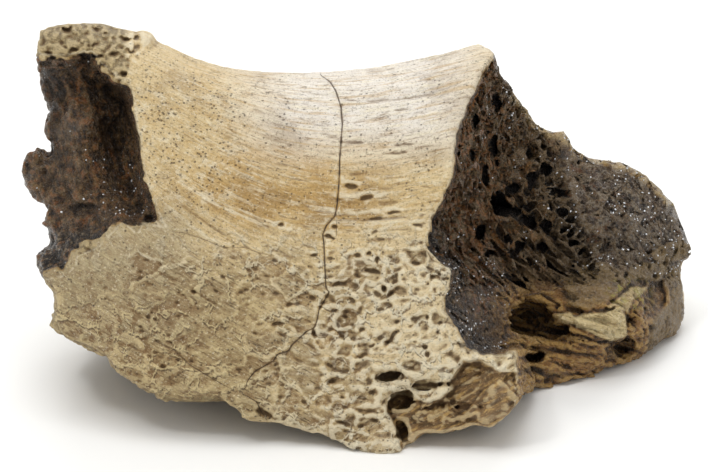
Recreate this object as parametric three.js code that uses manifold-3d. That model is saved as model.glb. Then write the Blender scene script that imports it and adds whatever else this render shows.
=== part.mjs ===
// A section of fossil dinosaur limb bone, lying as it rests: one solid, broken at both ends and below.
//
// The bone was one piece, so the model is one mesh. It starts as a whole length of flared shaft, and each old
// break is a block with a rough face that is cut away from it.
//
// Two frames are used, both in millimetres.
// Bone frame: x runs along the shaft, d is depth from the front face to the back, t is height across the shaft.
// Row frame: +Z up, the floor at Z = 0, the origin under the middle of the box. The bone leans back by LEAN.
import * as THREE from "three";
import { mergeVertices } from "three/addons/utils/BufferGeometryUtils.js";
import Module from "manifold-3d";

// Placing
const LEAN = THREE.MathUtils.degToRad(20); // the shaft rests tipped back about X
const SPREAD = 700; // the bone widens towards its back, by d / SPREAD of its size
const CENTRE_OFFSET = new THREE.Vector3(-1.35, -1.14, 24); // from the bone frame's origin to the row frame's

// Whole shaft. Each station: x, top, bottom, front, back, rim (the depth of the top and bottom lines).
const STATIONS = [
  [-58, 35, -44, -4, 17, 7],
  [-50, 34.5, -46, -9, 20, 6],
  [-40, 33.5, -48, -15, 25, 5],
  [-35, 31.9, -49, -17.5, 26, 4],
  [-30.5, 29.9, -50, -18.7, 27, 4],
  [-25, 27.4, -51, -19.6, 27, 4],
  [-19, 25.8, -52, -19.6, 27, 4],
  [-8, 25, -53, -19.2, 27, 4],
  [3, 25.8, -54, -20.2, 27, 4],
  [13, 27.6, -54, -21.8, 28, 4],
  [21, 29.8, -54, -23, 29, 5],
  [35, 33, -52, -23, 31, 7],
  [48, 36, -50, -23, 32, 8],
  [60, 38, -48, -22, 31, 9],
];
const SQUARENESS = 2.3; // 2 is an ellipse
const STEPS_ALONG = 44;
const STEPS_AROUND = 52;

// Outline of the broken piece, square on to its front. It runs clear of the shaft where the top is unbroken.
const OUTLINE = [
  [-47.5, 31.6], [-45.2, 32.1], [-38.7, 32.3], [-35.2, 31.6], [-31.3, 31.4], [-30.4, 31],
  [-27, 30.5], [-20, 29], [-5, 29], [8, 29], [16.4, 30.5], [19.4, 29.2], [21.5, 28], [21.7, 26.6],
  [22.7, 24.1], [24, 23], [25.2, 20.6], [26.6, 19.2], [27.5, 17.5], [30.3, 15.8], [31.8, 16],
  [33.3, 13.8], [36.1, 12], [41.8, 10.8], [44.9, 8.9], [47.3, 6.9], [49.3, 4.1], [50.9, 0],
  [51.5, -2.5], [50.3, -4.2], [50.2, -6.6], [51, -12.7], [50.1, -14.4], [46.5, -16.6], [44.5, -18],
  [43.9, -19.4], [39.5, -20], [35.5, -22], [33.2, -21.5], [32.7, -22.7], [27.8, -24], [25.5, -24],
  [25, -25.2], [24.1, -26.9], [21, -29.5], [18.9, -29], [13.8, -30.3], [10.8, -30.1], [8.6, -31.8],
  [7.2, -31.3], [7.1, -32.7], [5.4, -33.5], [0.5, -31.9], [-6, -30.4], [-11.8, -28.4], [-16.6, -28.4],
  [-26.7, -27], [-31.3, -24], [-36.2, -20.9], [-37.9, -18.1], [-44.2, -15.5], [-46.2, -13.7],
  [-45.8, -11.5], [-45.8, -8.4], [-47.9, -6], [-48.4, -3.2], [-46.2, -1.4], [-46.4, 0.8], [-47.8, 1.8],
  [-46.2, 5.2], [-48.5, 5.5], [-50.4, 9.2], [-51, 11.2], [-50.4, 12.4], [-48.5, 12.7], [-46.7, 12],
  [-46.2, 13.5], [-47, 16.3], [-46.7, 18.1], [-47.5, 20.9], [-48.2, 23.2], [-48.5, 28.9],
];

// The outline's walls narrow and roughen behind the depth where the front face meets them.
const WALL_LAYERS = [-60, 4, 11, 18, 25, 34, 44];
const WALL_ENDS = [-50, 50]; // x of the left end and of the right end
const WALL_START = [5, 34]; // that depth at each end
const WALL_TAPER = 0.006; // narrowing per mm of depth
const WALL_ROUGHNESS = 1;
const WALL_ROUGHENING = 6; // depth over which the roughness grows

// A break: the line where it leaves the cortex, with the width of the slope down from it there; corners that
// close its area beyond the bone; and spot depths of the floor the slope runs out on (x, t, d).
const RIGHT_BREAK = {
  edge: [
    [21.5, 34, 12], [21.5, 28, 12], [19.4, 25.2, 12], [17.8, 21.2, 12], [16, 17.2, 12],
    [14.9, 13.2, 12], [15.1, 10.4, 12], [13.4, 5.8, 12], [12, 2.8, 12], [11.1, -1.4, 11],
    [11.7, -3.8, 9], [14.4, -5.2, 7], [14.3, -8, 6], [13.2, -10.1, 5], [14.1, -12.1, 5],
    [15.5, -14.4, 5], [17, -17.4, 4], [19.5, -18.6, 4], [22.9, -18.4, 3], [24.6, -18, 3],
    [25.2, -21.5, 3], [25.2, -24, 3], [24.8, -27, 3], [22.5, -31, 3], [21, -40, 3],
  ],
  corners: [[64, -46], [64, 42], [30, 42]],
  floor: [
    [16, 30, 8], [22, 24, 12], [17, 17, 4], [25, 19, 16], [14, 6, 1], [20, 5, 5], [26, 10, 13],
    [31, 14, 20], [36, 10, 21], [26, -1, 8], [32, 5, 14], [38, 6, 18], [44, 5, 22], [50, 0, 27],
    [13, -4, -6], [15, -9, -11], [19, -10, -10], [20.5, -14, -10], [19, -19, -10], [24.5, -7, 3],
    [25, -13, 2], [26, -18, 2], [28, -8, 7], [34, -5, 10], [41, -4, 14], [47, -5, 22],
    [30, -13, 5], [35, -13, 3], [41, -13, 7], [46, -14, 15], [49.5, -12, 25], [27, -24, 2],
    [32, -22.5, 6], [38, -21, 10.5], [44.5, -18.5, 18], [50, -16, 27],
  ],
};
const LEFT_BREAK = {
  edge: [
    [-56, 27, 6], [-48.1, 27.5, 6], [-43.2, 27.8, 5], [-40.2, 28.3, 4], [-37.8, 25.5, 3],
    [-35.6, 23.3, 3], [-34.6, 24, 3], [-33.9, 20.9, 3.5], [-32.6, 13.2, 4], [-31.3, 7.1, 4],
    [-30.1, 4, 4], [-29, 1.5, 4], [-32.4, 2, 5], [-33.3, 0.6, 6], [-35.6, 2.2, 7],
    [-39.3, -1.7, 8], [-42.9, -3.1, 8], [-42.7, -4.6, 8], [-44.9, -6.3, 8], [-56, -7, 8],
  ],
  corners: [[-64, -7], [-64, 27]],
  floor: [
    [-47, 22, 3], [-42, 24, 0], [-37.5, 22, 2.5], [-36.5, 17, 3.5], [-35, 12.5, 3], [-33, 6, 0],
    [-39.5, 18, -4], [-41, 12, -4.5], [-45, 13, 0], [-50, 9, 3], [-42, 6, -5], [-45, 1, -4],
    [-39, 2, -6], [-47, -4, -5],
  ],
};
const RIGHT_AREA = [8, 64, -46, 42]; // x from and to, t from and to
const LEFT_AREA = [-64, -26, -12, 34];
const BREAK_GRID = 1.65; // spacing of a break's surface points
const LEAST_DROP = 1.5; // how far a break's floor lies below the cortex at least
const BREAK_ROUGHNESS = 0.55;
const BREAK_GRAIN = 5.5; // width of the bumps on a break
const NEAR = -60; // where the cutting blocks start, clear in front of the bone

// Hollows eaten into the lower right: x, t, d, then the half sizes along x, t and d, and the turn about d.
const HOLLOWS = [
  [26.3, -13, 6, 5, 3.1, 9, -0.1],
  [31, -14.8, 6, 3, 1.6, 7, -0.25],
  [27.3, -18.7, 4, 2.1, 1, 6, -0.15],
  [42.8, -13.2, 8, 1.6, 1, 5, 0.3],
  [41.2, -17.5, 12, 1.5, 1, 5, 0],
  [17.7, -22.9, -21, 3, 3.6, 6, 0.3],
  [11.3, -22.9, -21, 2.7, 0.9, 5, 0.05],
  [7.3, -25.2, -20, 1.9, 1.4, 5, 0],
  [5.4, -21.6, -20, 1.9, 0.9, 4, -0.2],
  [7.4, -30.3, -19, 1, 1.6, 4, 0],
];

// Underside: the bone stands on worn feet (x, y, radius), and the broken face rises between them.
const FEET = [
  [5, -25, 5.5], [2, -7, 5], [31, -1.5, 4.5], [37, 3.5, 4], [43, 8.5, 4], [48.5, 15, 3],
  [-16, -5, 4.5], [-22, 12, 4.5], [9, 13, 5], [29, 20, 4],
];
const FOOT_SLOPE = 0.35; // rise per mm away from a foot
const UNDERSIDE_LIFT = 2.2; // height of the broken face between the feet
const LEFT_LIFT = 0.42; // extra rise per mm towards the left end
const LEFT_LIFT_FROM = -12;
const UNDERSIDE_ROUGHNESS = 0.35; // as a share of the rise
const UNDERSIDE_AREA = [-48, 48, -64, 64]; // y from and to, x from and to
const UNDERSIDE_GRID = 2.6;
const BELOW = -60; // where the block that is cut from the underside starts

const wasm = await Module();
wasm.setup();

// Smooth curve through (xs, ys), read at x.
function curveAt(xs, ys, x) {
  const last = xs.length - 1;
  let i = 0;
  while (i < last - 1 && x > xs[i + 1]) i++;
  const slope = (k) => {
    const a = Math.max(k - 1, 0);
    const b = Math.min(k + 1, last);
    return (ys[b] - ys[a]) / (xs[b] - xs[a]);
  };
  const width = xs[i + 1] - xs[i];
  const u = THREE.MathUtils.clamp((x - xs[i]) / width, 0, 1);
  const bend = u * u * (3 - 2 * u);
  const lean = u * (1 - u) * width;
  return ys[i] * (1 - bend) + ys[i + 1] * bend + lean * (slope(i) * (1 - u) - slope(i + 1) * u);
}

const STATION_XS = STATIONS.map((s) => s[0]);
const COLUMNS = [1, 2, 3, 4, 5].map((c) => STATIONS.map((s) => s[c]));

// The shaft's top, bottom, front, back and rim at x.
function station(x) {
  const [top, bottom, front, back, rim] = COLUMNS.map((c) => curveAt(STATION_XS, c, x));
  return { middle: (top + bottom) / 2, half: (top - bottom) / 2, front, back, rim };
}

// Depth of the whole shaft's front face at (x, t).
function cortexDepth(x, t) {
  const s = station(x);
  const across = Math.min(Math.abs((t - s.middle) / s.half), 1);
  return s.rim + (s.front - s.rim) * (1 - across ** SQUARENESS) ** (1 / SQUARENESS);
}

// Repeatable value from 0 to 1 for a grid corner.
function hash(i, j) {
  const v = Math.sin(i * 127.1 + j * 311.7) * 43758.5453;
  return v - Math.floor(v);
}

// Smooth bumps from -1 to 1, about one grid step wide.
function bumps(x, y) {
  const i = Math.floor(x);
  const j = Math.floor(y);
  const u = THREE.MathUtils.smoothstep(x - i, 0, 1);
  const v = THREE.MathUtils.smoothstep(y - j, 0, 1);
  const low = THREE.MathUtils.lerp(hash(i, j), hash(i + 1, j), u);
  const high = THREE.MathUtils.lerp(hash(i, j + 1), hash(i + 1, j + 1), u);
  return 2 * THREE.MathUtils.lerp(low, high, v) - 1;
}

// Solves the square system a x = b by elimination with row swaps.
function solve(a, b) {
  const n = b.length;
  const rows = a.map((row, i) => [...row, b[i]]);
  for (let c = 0; c < n; c++) {
    let best = c;
    for (let r = c; r < n; r++) if (Math.abs(rows[r][c]) > Math.abs(rows[best][c])) best = r;
    [rows[c], rows[best]] = [rows[best], rows[c]];
    for (let r = 0; r < n; r++) {
      if (r === c) continue;
      const f = rows[r][c] / rows[c][c];
      for (let k = c; k <= n; k++) rows[r][k] -= f * rows[c][k];
    }
  }
  return rows.map((row, i) => row[n] / row[i]);
}

// Thin-plate surface through spot depths: returns a function of (x, t).
function plateThrough(spots) {
  const kernel = (r2) => (r2 > 0 ? 0.5 * r2 * Math.log(r2) : 0);
  const gap2 = (x, t, p) => (x - p[0]) ** 2 + (t - p[1]) ** 2;
  const rows = spots.map((p) => [...spots.map((q) => kernel(gap2(p[0], p[1], q))), 1, p[0], p[1]]);
  rows.push([...spots.map(() => 1), 0, 0, 0]);
  rows.push([...spots.map((p) => p[0]), 0, 0, 0]);
  rows.push([...spots.map((p) => p[1]), 0, 0, 0]);
  const w = solve(rows, [...spots.map((p) => p[2]), 0, 0, 0]);
  const n = spots.length;
  return (x, t) =>
    spots.reduce((sum, p, i) => sum + w[i] * kernel(gap2(x, t, p)), w[n] + w[n + 1] * x + w[n + 2] * t);
}

// How far (x, t) lies inside a break's edge line (negative outside), and the slope width at the nearest point.
function fromEdge({ edge, corners }, x, t) {
  let nearest = Infinity;
  let width = 1;
  for (let i = 0; i + 1 < edge.length; i++) {
    const [ax, at, aw] = edge[i];
    const [bx, bt, bw] = edge[i + 1];
    const along = ((x - ax) * (bx - ax) + (t - at) * (bt - at)) / ((bx - ax) ** 2 + (bt - at) ** 2);
    const u = THREE.MathUtils.clamp(along, 0, 1);
    const gap = Math.hypot(x - ax - u * (bx - ax), t - at - u * (bt - at));
    if (gap < nearest) {
      nearest = gap;
      width = THREE.MathUtils.lerp(aw, bw, u);
    }
  }
  const ring = [...edge, ...corners];
  let inside = false;
  ring.forEach(([ax, at], i) => {
    const [bx, bt] = ring[(i + 1) % ring.length];
    if (at > t !== bt > t && x < ax + ((bx - ax) * (t - at)) / (bt - at)) inside = !inside;
  });
  return { inward: inside ? nearest : -nearest, width };
}

// Depth of a break's face at (x, t): it slopes down from the cortex at its edge on to its rough floor.
function breakDepth(area) {
  const floorDepth = plateThrough(area.floor);
  return (x, t) => {
    const cortex = cortexDepth(x, t);
    const { inward, width } = fromEdge(area, x, t);
    const rough = BREAK_ROUGHNESS * bumps(x / BREAK_GRAIN, t / BREAK_GRAIN);
    const drop = Math.max(floorDepth(x, t) + rough - cortex, LEAST_DROP);
    const across = Math.min(inward / width, 1);
    return cortex + drop * (across < 0 ? 2 * across : 1 - (1 - across) ** 2);
  };
}

// Turns a closed mesh into a solid that can be cut and joined.
function solidOf(geometry) {
  const bare = geometry.clone();
  bare.deleteAttribute("normal");
  bare.deleteAttribute("uv");
  const merged = mergeVertices(bare, 1e-4);
  const triVerts = new Uint32Array(merged.index.array);
  const vertProperties = merged.getAttribute("position").array;
  return new wasm.Manifold(new wasm.Mesh({ numProp: 3, vertProperties, triVerts }));
}

// A geometry from a flat list of coordinates and a flat list of triangle corners.
function meshGeometry(points, faces) {
  const geometry = new THREE.BufferGeometry();
  geometry.setAttribute("position", new THREE.Float32BufferAttribute(points, 3));
  geometry.setIndex([...faces]);
  return geometry;
}

// Turns a solid back into a geometry.
function geometryOf(solid) {
  const mesh = solid.getMesh();
  return meshGeometry(mesh.vertProperties, mesh.triVerts);
}

// A closed block over a grid of (a, b), from a flat face at `flat` to the surface level(a, b), facing out.
function reliefBlock([a0, a1, b0, b1], spacing, flat, level, place) {
  const columns = Math.round((a1 - a0) / spacing);
  const rows = Math.round((b1 - b0) / spacing);
  const points = [];
  const corner = (side, i, j) => side * (columns + 1) * (rows + 1) + j * (columns + 1) + i;
  for (const side of [0, 1]) {
    for (let j = 0; j <= rows; j++) {
      for (let i = 0; i <= columns; i++) {
        const a = THREE.MathUtils.lerp(a0, a1, i / columns);
        const b = THREE.MathUtils.lerp(b0, b1, j / rows);
        points.push(...place(a, b, side ? level(a, b) : flat));
      }
    }
  }
  const faces = [];
  const quad = (p, q, r, s) => faces.push(p, q, r, p, r, s);
  for (let j = 0; j < rows; j++) {
    for (let i = 0; i < columns; i++) {
      quad(corner(0, i, j), corner(0, i + 1, j), corner(0, i + 1, j + 1), corner(0, i, j + 1));
      quad(corner(1, i, j), corner(1, i, j + 1), corner(1, i + 1, j + 1), corner(1, i + 1, j));
    }
  }
  for (let i = 0; i < columns; i++) {
    quad(corner(0, i, 0), corner(1, i, 0), corner(1, i + 1, 0), corner(0, i + 1, 0));
    quad(corner(0, i + 1, rows), corner(1, i + 1, rows), corner(1, i, rows), corner(0, i, rows));
  }
  for (let j = 0; j < rows; j++) {
    quad(corner(0, 0, j + 1), corner(1, 0, j + 1), corner(1, 0, j), corner(0, 0, j));
    quad(corner(0, columns, j), corner(1, columns, j), corner(1, columns, j + 1), corner(0, columns, j + 1));
  }
  return meshGeometry(points, faces);
}

// The whole length of shaft, closed at both ends.
function shaftGeometry() {
  const points = [];
  const faces = [];
  const from = STATION_XS[0];
  const to = STATION_XS[STATION_XS.length - 1];
  const bend = 2 / SQUARENESS;
  for (let i = 0; i <= STEPS_ALONG; i++) {
    const x = THREE.MathUtils.lerp(from, to, i / STEPS_ALONG);
    const s = station(x);
    for (let j = 0; j < STEPS_AROUND; j++) {
      const angle = (2 * Math.PI * j) / STEPS_AROUND;
      const up = Math.sign(Math.sin(angle)) * Math.abs(Math.sin(angle)) ** bend;
      const out = Math.abs(Math.cos(angle)) ** bend;
      const reach = Math.cos(angle) < 0 ? s.front - s.rim : s.back - s.rim;
      points.push(x, s.rim + reach * out, s.middle + s.half * up);
    }
  }
  const at = (i, j) => i * STEPS_AROUND + (j % STEPS_AROUND);
  for (let i = 0; i < STEPS_ALONG; i++) {
    for (let j = 0; j < STEPS_AROUND; j++) {
      faces.push(at(i, j), at(i + 1, j + 1), at(i + 1, j), at(i, j), at(i, j + 1), at(i + 1, j + 1));
    }
  }
  for (const [i, x] of [[0, from], [STEPS_ALONG, to]]) {
    const s = station(x);
    const hub = points.length / 3;
    points.push(x, s.rim, s.middle);
    for (let j = 0; j < STEPS_AROUND; j++) {
      if (i === 0) faces.push(hub, at(i, j + 1), at(i, j));
      else faces.push(hub, at(i, j), at(i, j + 1));
    }
  }
  return meshGeometry(points, faces);
}

// A block right through the bone with the broken piece's outline.
function outlineGeometry() {
  const ring = OUTLINE.toReversed(); // anticlockwise from the front
  const points = [];
  for (const d of WALL_LAYERS) {
    for (const [x, t] of ring) {
      const behind = Math.max(d - THREE.MathUtils.mapLinear(x, ...WALL_ENDS, ...WALL_START), 0);
      const scale = 1 - WALL_TAPER * behind;
      const rough = WALL_ROUGHNESS * Math.min(behind / WALL_ROUGHENING, 1);
      const inX = rough * bumps(t / BREAK_GRAIN, d / BREAK_GRAIN);
      const inT = rough * bumps(x / BREAK_GRAIN, d / BREAK_GRAIN);
      points.push(x * scale + inX, d, t * scale + inT);
    }
  }
  const count = ring.length;
  const last = (WALL_LAYERS.length - 1) * count;
  const faces = [];
  for (let layer = 0; layer < last; layer += count) {
    for (let i = 0; i < count; i++) {
      const here = layer + i;
      const next = layer + ((i + 1) % count);
      faces.push(here, next + count, next, here, here + count, next + count);
    }
  }
  const loop = ring.map(([x, t]) => new THREE.Vector2(x, t));
  for (const [p, q, r] of THREE.ShapeUtils.triangulateShape(loop, [])) {
    faces.push(p, q, r, last + p, last + r, last + q);
  }
  return meshGeometry(points, faces);
}

// A rounded pocket, longest into the bone.
function hollowGeometry([x, t, d, halfX, halfT, halfD, turn]) {
  return new THREE.IcosahedronGeometry(1, 2)
    .scale(halfX, halfD, halfT)
    .rotateY(turn)
    .translate(x, d, t);
}

// Height of the broken underside at the row frame's (x, y).
function undersideHeight(x, y) {
  const away = Math.min(...FEET.map(([fx, fy, radius]) => Math.hypot(x - fx, y - fy) - radius));
  const lift = UNDERSIDE_LIFT + LEFT_LIFT * Math.max(LEFT_LIFT_FROM - x, 0);
  const open = Math.max(away * FOOT_SLOPE, 0);
  return Math.min(open, lift) * (1 + UNDERSIDE_ROUGHNESS * bumps(x / BREAK_GRAIN, y / BREAK_GRAIN));
}

const inBone = (x, t, d) => [x, d, t];
let bone = solidOf(shaftGeometry()).intersect(solidOf(outlineGeometry()));
for (const [area, bounds] of [[RIGHT_BREAK, RIGHT_AREA], [LEFT_BREAK, LEFT_AREA]]) {
  const face = breakDepth(area);
  bone = bone.subtract(solidOf(reliefBlock(bounds, BREAK_GRID, NEAR, face, inBone)));
}
for (const hollow of HOLLOWS) bone = bone.subtract(solidOf(hollowGeometry(hollow)));

// Into the row frame: widen towards the back, lean back, lift onto the feet.
const placed = geometryOf(bone);
const position = placed.getAttribute("position");
for (let i = 0; i < position.count; i++) {
  const widen = 1 + position.getY(i) / SPREAD;
  position.setXYZ(i, position.getX(i) * widen, position.getY(i), position.getZ(i) * widen);
}
placed.rotateX(-LEAN).translate(...CENTRE_OFFSET.toArray());

const inRow = (y, x, z) => [x, y, z];
const rise = (y, x) => undersideHeight(x, y);
const underside = reliefBlock(UNDERSIDE_AREA, UNDERSIDE_GRID, BELOW, rise, inRow);
const standing = solidOf(placed).subtract(solidOf(underside));
const main = standing.decompose().sort((a, b) => b.volume() - a.volume())[0];

const fossil = new THREE.Mesh(
  geometryOf(main),
  new THREE.MeshStandardMaterial({ color: 0xb59b72, roughness: 0.7, metalness: 0 }),
);
fossil.name = "bone_section";

const group = new THREE.Group();
group.add(fossil);
export default group;
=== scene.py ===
"""Looks for a broken section of fossil limb bone: weathered skin, cracks, pores and dark spongy bone.

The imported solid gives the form. A signed distance volume is made from it, and the bone's own relief is carved
into that volume. The carved surface becomes five closed meshes that stand in for the solid. They are
stretches of the one bone that meet along its main crack and the edges of its breaks. Lengths are in
millimetres while the relief is worked out, and in metres on every Blender object.
"""

import itertools
import logging
import math
import time
from concurrent.futures import ThreadPoolExecutor
from dataclasses import dataclass, field, replace
from enum import Enum
from collections.abc import Callable
from functools import lru_cache

import bmesh
import bpy
import numpy as np
from mathutils import Matrix, Vector
from mathutils.bvhtree import BVHTree


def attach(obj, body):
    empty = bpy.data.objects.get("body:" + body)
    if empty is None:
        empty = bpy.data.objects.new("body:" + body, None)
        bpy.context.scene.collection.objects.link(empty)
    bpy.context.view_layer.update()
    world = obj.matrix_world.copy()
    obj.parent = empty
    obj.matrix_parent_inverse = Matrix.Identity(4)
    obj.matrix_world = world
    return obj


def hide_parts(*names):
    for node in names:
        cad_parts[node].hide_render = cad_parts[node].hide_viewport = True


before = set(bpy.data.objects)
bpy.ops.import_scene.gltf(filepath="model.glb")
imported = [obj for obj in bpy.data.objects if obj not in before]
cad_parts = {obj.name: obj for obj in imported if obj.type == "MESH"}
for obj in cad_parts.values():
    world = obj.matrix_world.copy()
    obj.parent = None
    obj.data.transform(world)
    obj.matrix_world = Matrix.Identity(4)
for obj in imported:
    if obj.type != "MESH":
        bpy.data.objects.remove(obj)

Array = np.ndarray
Socket = bpy.types.NodeSocket
MM = 0.001
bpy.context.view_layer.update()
NODE = "bone_section"
BODY = "root"
log = logging.getLogger("fossil")


# ------------ Numbers: ramps, noise and cells ------------

def ramp(value: Array, low: float, high: float) -> Array:
    """Rises smoothly from 0 at low to 1 at high.

    Args:
        value: Any array.
        low: Where the ramp starts.
        high: Where it ends; it may be less than low for a falling ramp.

    Returns:
        The ramp's value at each element.
    """
    share = np.clip((value - low) / (high - low), 0, 1)
    return share * share * (3 - 2 * share)


def window(value: Array, low: float, high: float, soft: float) -> Array:
    """1 between low and high, fading to 0 over soft outside them."""
    return ramp(value, low - soft, low) * ramp(value, high + soft, high)


def patch(x: Array, t: Array, box: tuple, soft: float = 2.0) -> Array:
    """A soft-edged rectangle on the face.

    Args:
        x: Places along the bone.
        t: Places up its face.
        box: x from, x to, t from, t to.
        soft: Width of the fading edge.

    Returns:
        1 inside the box and 0 outside it.
    """
    return window(x, box[0], box[1], soft) * window(t, box[2], box[3], soft)


def later() -> object:
    """A field that is worked out after the others."""
    return field(init=False, repr=False)


@dataclass
class Lattice:
    """A repeatable block of random numbers, read as smooth noise or as the middles of cells.

    Attributes:
        seed: Which block of numbers.
        bits: The block has two to this power corners a side.
    """

    seed: int
    bits: int = 6
    values: Array = later()

    def __post_init__(self) -> None:
        """Draws the block's numbers."""
        count = 1 << (3 * self.bits)
        draw = np.random.default_rng(self.seed)
        self.values = draw.random((count, 4), dtype=np.float32) * 2 - 1

    def index(self, x: Array, y: Array, z: Array) -> Array:
        """Place in the block of each whole-numbered corner."""
        mask = (1 << self.bits) - 1
        return ((x & mask) << (2 * self.bits)) | ((y & mask) << self.bits) | (z & mask)

    def noise(self, points: Array, size: float | tuple) -> Array:
        """Smooth noise.

        Args:
            points: Places, along the last axis.
            size: Width of a bump, in each direction or all of them.

        Returns:
            Values from -1 to 1.
        """
        scaled = points / np.asarray(size, dtype=np.float32)
        base = np.floor(scaled)
        share = scaled - base
        share = share * share * (3 - 2 * share)
        low = base.astype(np.int32)
        table = np.ascontiguousarray(self.values[:, 0])
        total = np.zeros(points.shape[:-1], dtype=np.float32)
        for a, b in itertools.product((0, 1), repeat=2):
            x = low[..., 0] + a
            y = low[..., 1] + b
            near = table[self.index(x, y, low[..., 2])]
            far = table[self.index(x, y, low[..., 2] + 1)]
            weight_x = share[..., 0] if a else 1 - share[..., 0]
            weight_y = share[..., 1] if b else 1 - share[..., 1]
            total += weight_x * weight_y * (near + (far - near) * share[..., 2])
        return total

    def layers(self, points: Array, size: float | tuple, count: int = 3) -> Array:
        """Noise with finer and weaker layers on top of it."""
        base = np.asarray(size, dtype=np.float32)
        total = np.zeros(points.shape[:-1], dtype=np.float32)
        for level in range(count):
            total += self.noise(points + 17.3 * level, base / 2**level) / 2**level
        return total / (2 - 2.0 ** (1 - count))

    def cells(self, points: Array, size: float | tuple, flat: bool = False) -> tuple:
        """Cells round scattered middles.

        Args:
            points: Places, along the last axis.
            size: Width of a cell, in each direction or all of them.
            flat: True where the cells run straight through along the third axis.

        Returns:
            Distance to the nearest middle and to the cell's border, in cell widths, and the cell's own number
            from -1 to 1.
        """
        scaled = points / np.asarray(size, dtype=np.float32)
        base = np.floor(scaled)
        low = base.astype(np.int32)
        share = scaled - base
        near = np.full(points.shape[:-1], 9.0, dtype=np.float32)
        second = near.copy()
        tag = np.zeros(points.shape[:-1], dtype=np.float32)
        deep = (0,) if flat else (-1, 0, 1)
        for a, b, c in itertools.product((-1, 0, 1), (-1, 0, 1), deep):
            spot = self.values[self.index(low[..., 0] + a, low[..., 1] + b, low[..., 2] + c)]
            gap = (share[..., 0] - a - 0.5 - 0.45 * spot[..., 0]) ** 2
            gap += (share[..., 1] - b - 0.5 - 0.45 * spot[..., 1]) ** 2
            if not flat:
                gap += (share[..., 2] - c - 0.5 - 0.45 * spot[..., 2]) ** 2
            closer = gap < near
            second = np.where(closer, near, np.minimum(second, gap))
            tag = np.where(closer, spot[..., 3], tag)
            near = np.where(closer, gap, near)
        return np.sqrt(near), (second - near) / 2, tag


@lru_cache(maxsize=None)
def lattice(seed: int) -> Lattice:
    """The lattice of a seed, drawn once."""
    return Lattice(seed)


def bends(first: int, points: Array, size: float, axes: int = 3, layers: int = 1) -> Array:
    """A bend along each axis, from lattices with the seeds that follow the first one."""
    return np.stack([lattice(first + i).layers(points, size, layers) for i in range(axes)], axis=-1)


# ------------ The bone's own directions and its outer form ------------

@dataclass(frozen=True)
class BoneAxes:
    """Turns places in the part's frame into the bone's own: x along it, t up its face, d into it.

    Attributes:
        lean: How far the bone's face leans back, in radians.
        spread: Distance at which the bone's form was flattened.
        centre: The bone axes' origin in the part's frame.
    """

    lean: float = math.radians(20)
    spread: float = 700.0
    centre: tuple = (-1.35, -1.14, 24.0)

    def from_row(self, points: Array) -> Array:
        """Bone x, t and d of places in the part's frame.

        Args:
            points: Places in mm, one row each.

        Returns:
            Their x, t and d in mm, one row each.
        """
        moved = points - np.asarray(self.centre, dtype=np.float32)
        cos, sin = math.cos(self.lean), math.sin(self.lean)
        depth = moved[:, 1] * cos - moved[:, 2] * sin
        up = moved[:, 1] * sin + moved[:, 2] * cos
        wide = 1 + depth / self.spread
        return np.stack([moved[:, 0] / wide, up / wide, depth], axis=1).astype(np.float32)

    def inward(self) -> Array:
        """Direction straight into the bone's face, in the part's frame."""
        return np.array([0, math.cos(self.lean), -math.sin(self.lean)], dtype=np.float32)


@dataclass
class ShaftForm:
    """The outer form of the whole shaft, before it was broken.

    Attributes:
        stations: x, top, bottom, front, back and rim depth of sections along the shaft.
        squareness: Power of the rounded sections.
    """

    stations: tuple = (
        (-58, 35, -44, -4, 17, 7), (-50, 34.5, -46, -9, 20, 6), (-40, 33.5, -48, -15, 25, 5),
        (-35, 31.9, -49, -17.5, 26, 4), (-30.5, 29.9, -50, -18.7, 27, 4), (-25, 27.4, -51, -19.6, 27, 4),
        (-19, 25.8, -52, -19.6, 27, 4), (-8, 25, -53, -19.2, 27, 4), (3, 25.8, -54, -20.2, 27, 4),
        (13, 27.6, -54, -21.8, 28, 4), (21, 29.8, -54, -23, 29, 5), (35, 33, -52, -23, 31, 7),
        (48, 36, -50, -23, 32, 8), (60, 38, -48, -22, 31, 9),
    )
    squareness: float = 2.3
    fine: Array = later()
    columns: list = later()

    def __post_init__(self) -> None:
        """Smooths the stations into a table with a row every quarter millimetre."""
        rows = np.array(self.stations, dtype=float)
        xs = rows[:, 0]
        self.fine = np.arange(xs[0], xs[-1], 0.25)
        at = np.clip(np.searchsorted(xs, self.fine, side="right") - 1, 0, len(xs) - 2)
        width = xs[at + 1] - xs[at]
        share = (self.fine - xs[at]) / width
        bend = share * share * (3 - 2 * share)
        before = np.maximum(np.arange(len(xs)) - 1, 0)
        after = np.minimum(np.arange(len(xs)) + 1, len(xs) - 1)
        self.columns = []
        for ys in rows[:, 1:].T:
            slope = (ys[after] - ys[before]) / (xs[after] - xs[before])
            lean = share * (1 - share) * width * (slope[at] * (1 - share) - slope[at + 1] * share)
            self.columns.append(ys[at] * (1 - bend) + ys[at + 1] * bend + lean)

    def below(self, bone: Array) -> Array:
        """How far places lie below the shaft's outer surface.

        Args:
            bone: Bone x, t and d, one row each.

        Returns:
            Depths in mm, less than 0 outside the shaft.
        """
        top, bottom, front, back, rim = (
            np.interp(bone[:, 0], self.fine, column).astype(np.float32) for column in self.columns)
        across = bone[:, 1] - (top + bottom) / 2
        deep = bone[:, 2] - rim
        reach = np.where(deep < 0, rim - front, back - rim)
        power = self.squareness
        share = np.abs(2 * across / (top - bottom)) ** power + np.abs(deep / reach) ** power
        share = np.maximum(share, 1e-4) ** (1 / power)
        far = np.hypot(across, deep)
        return far / share - far


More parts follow.
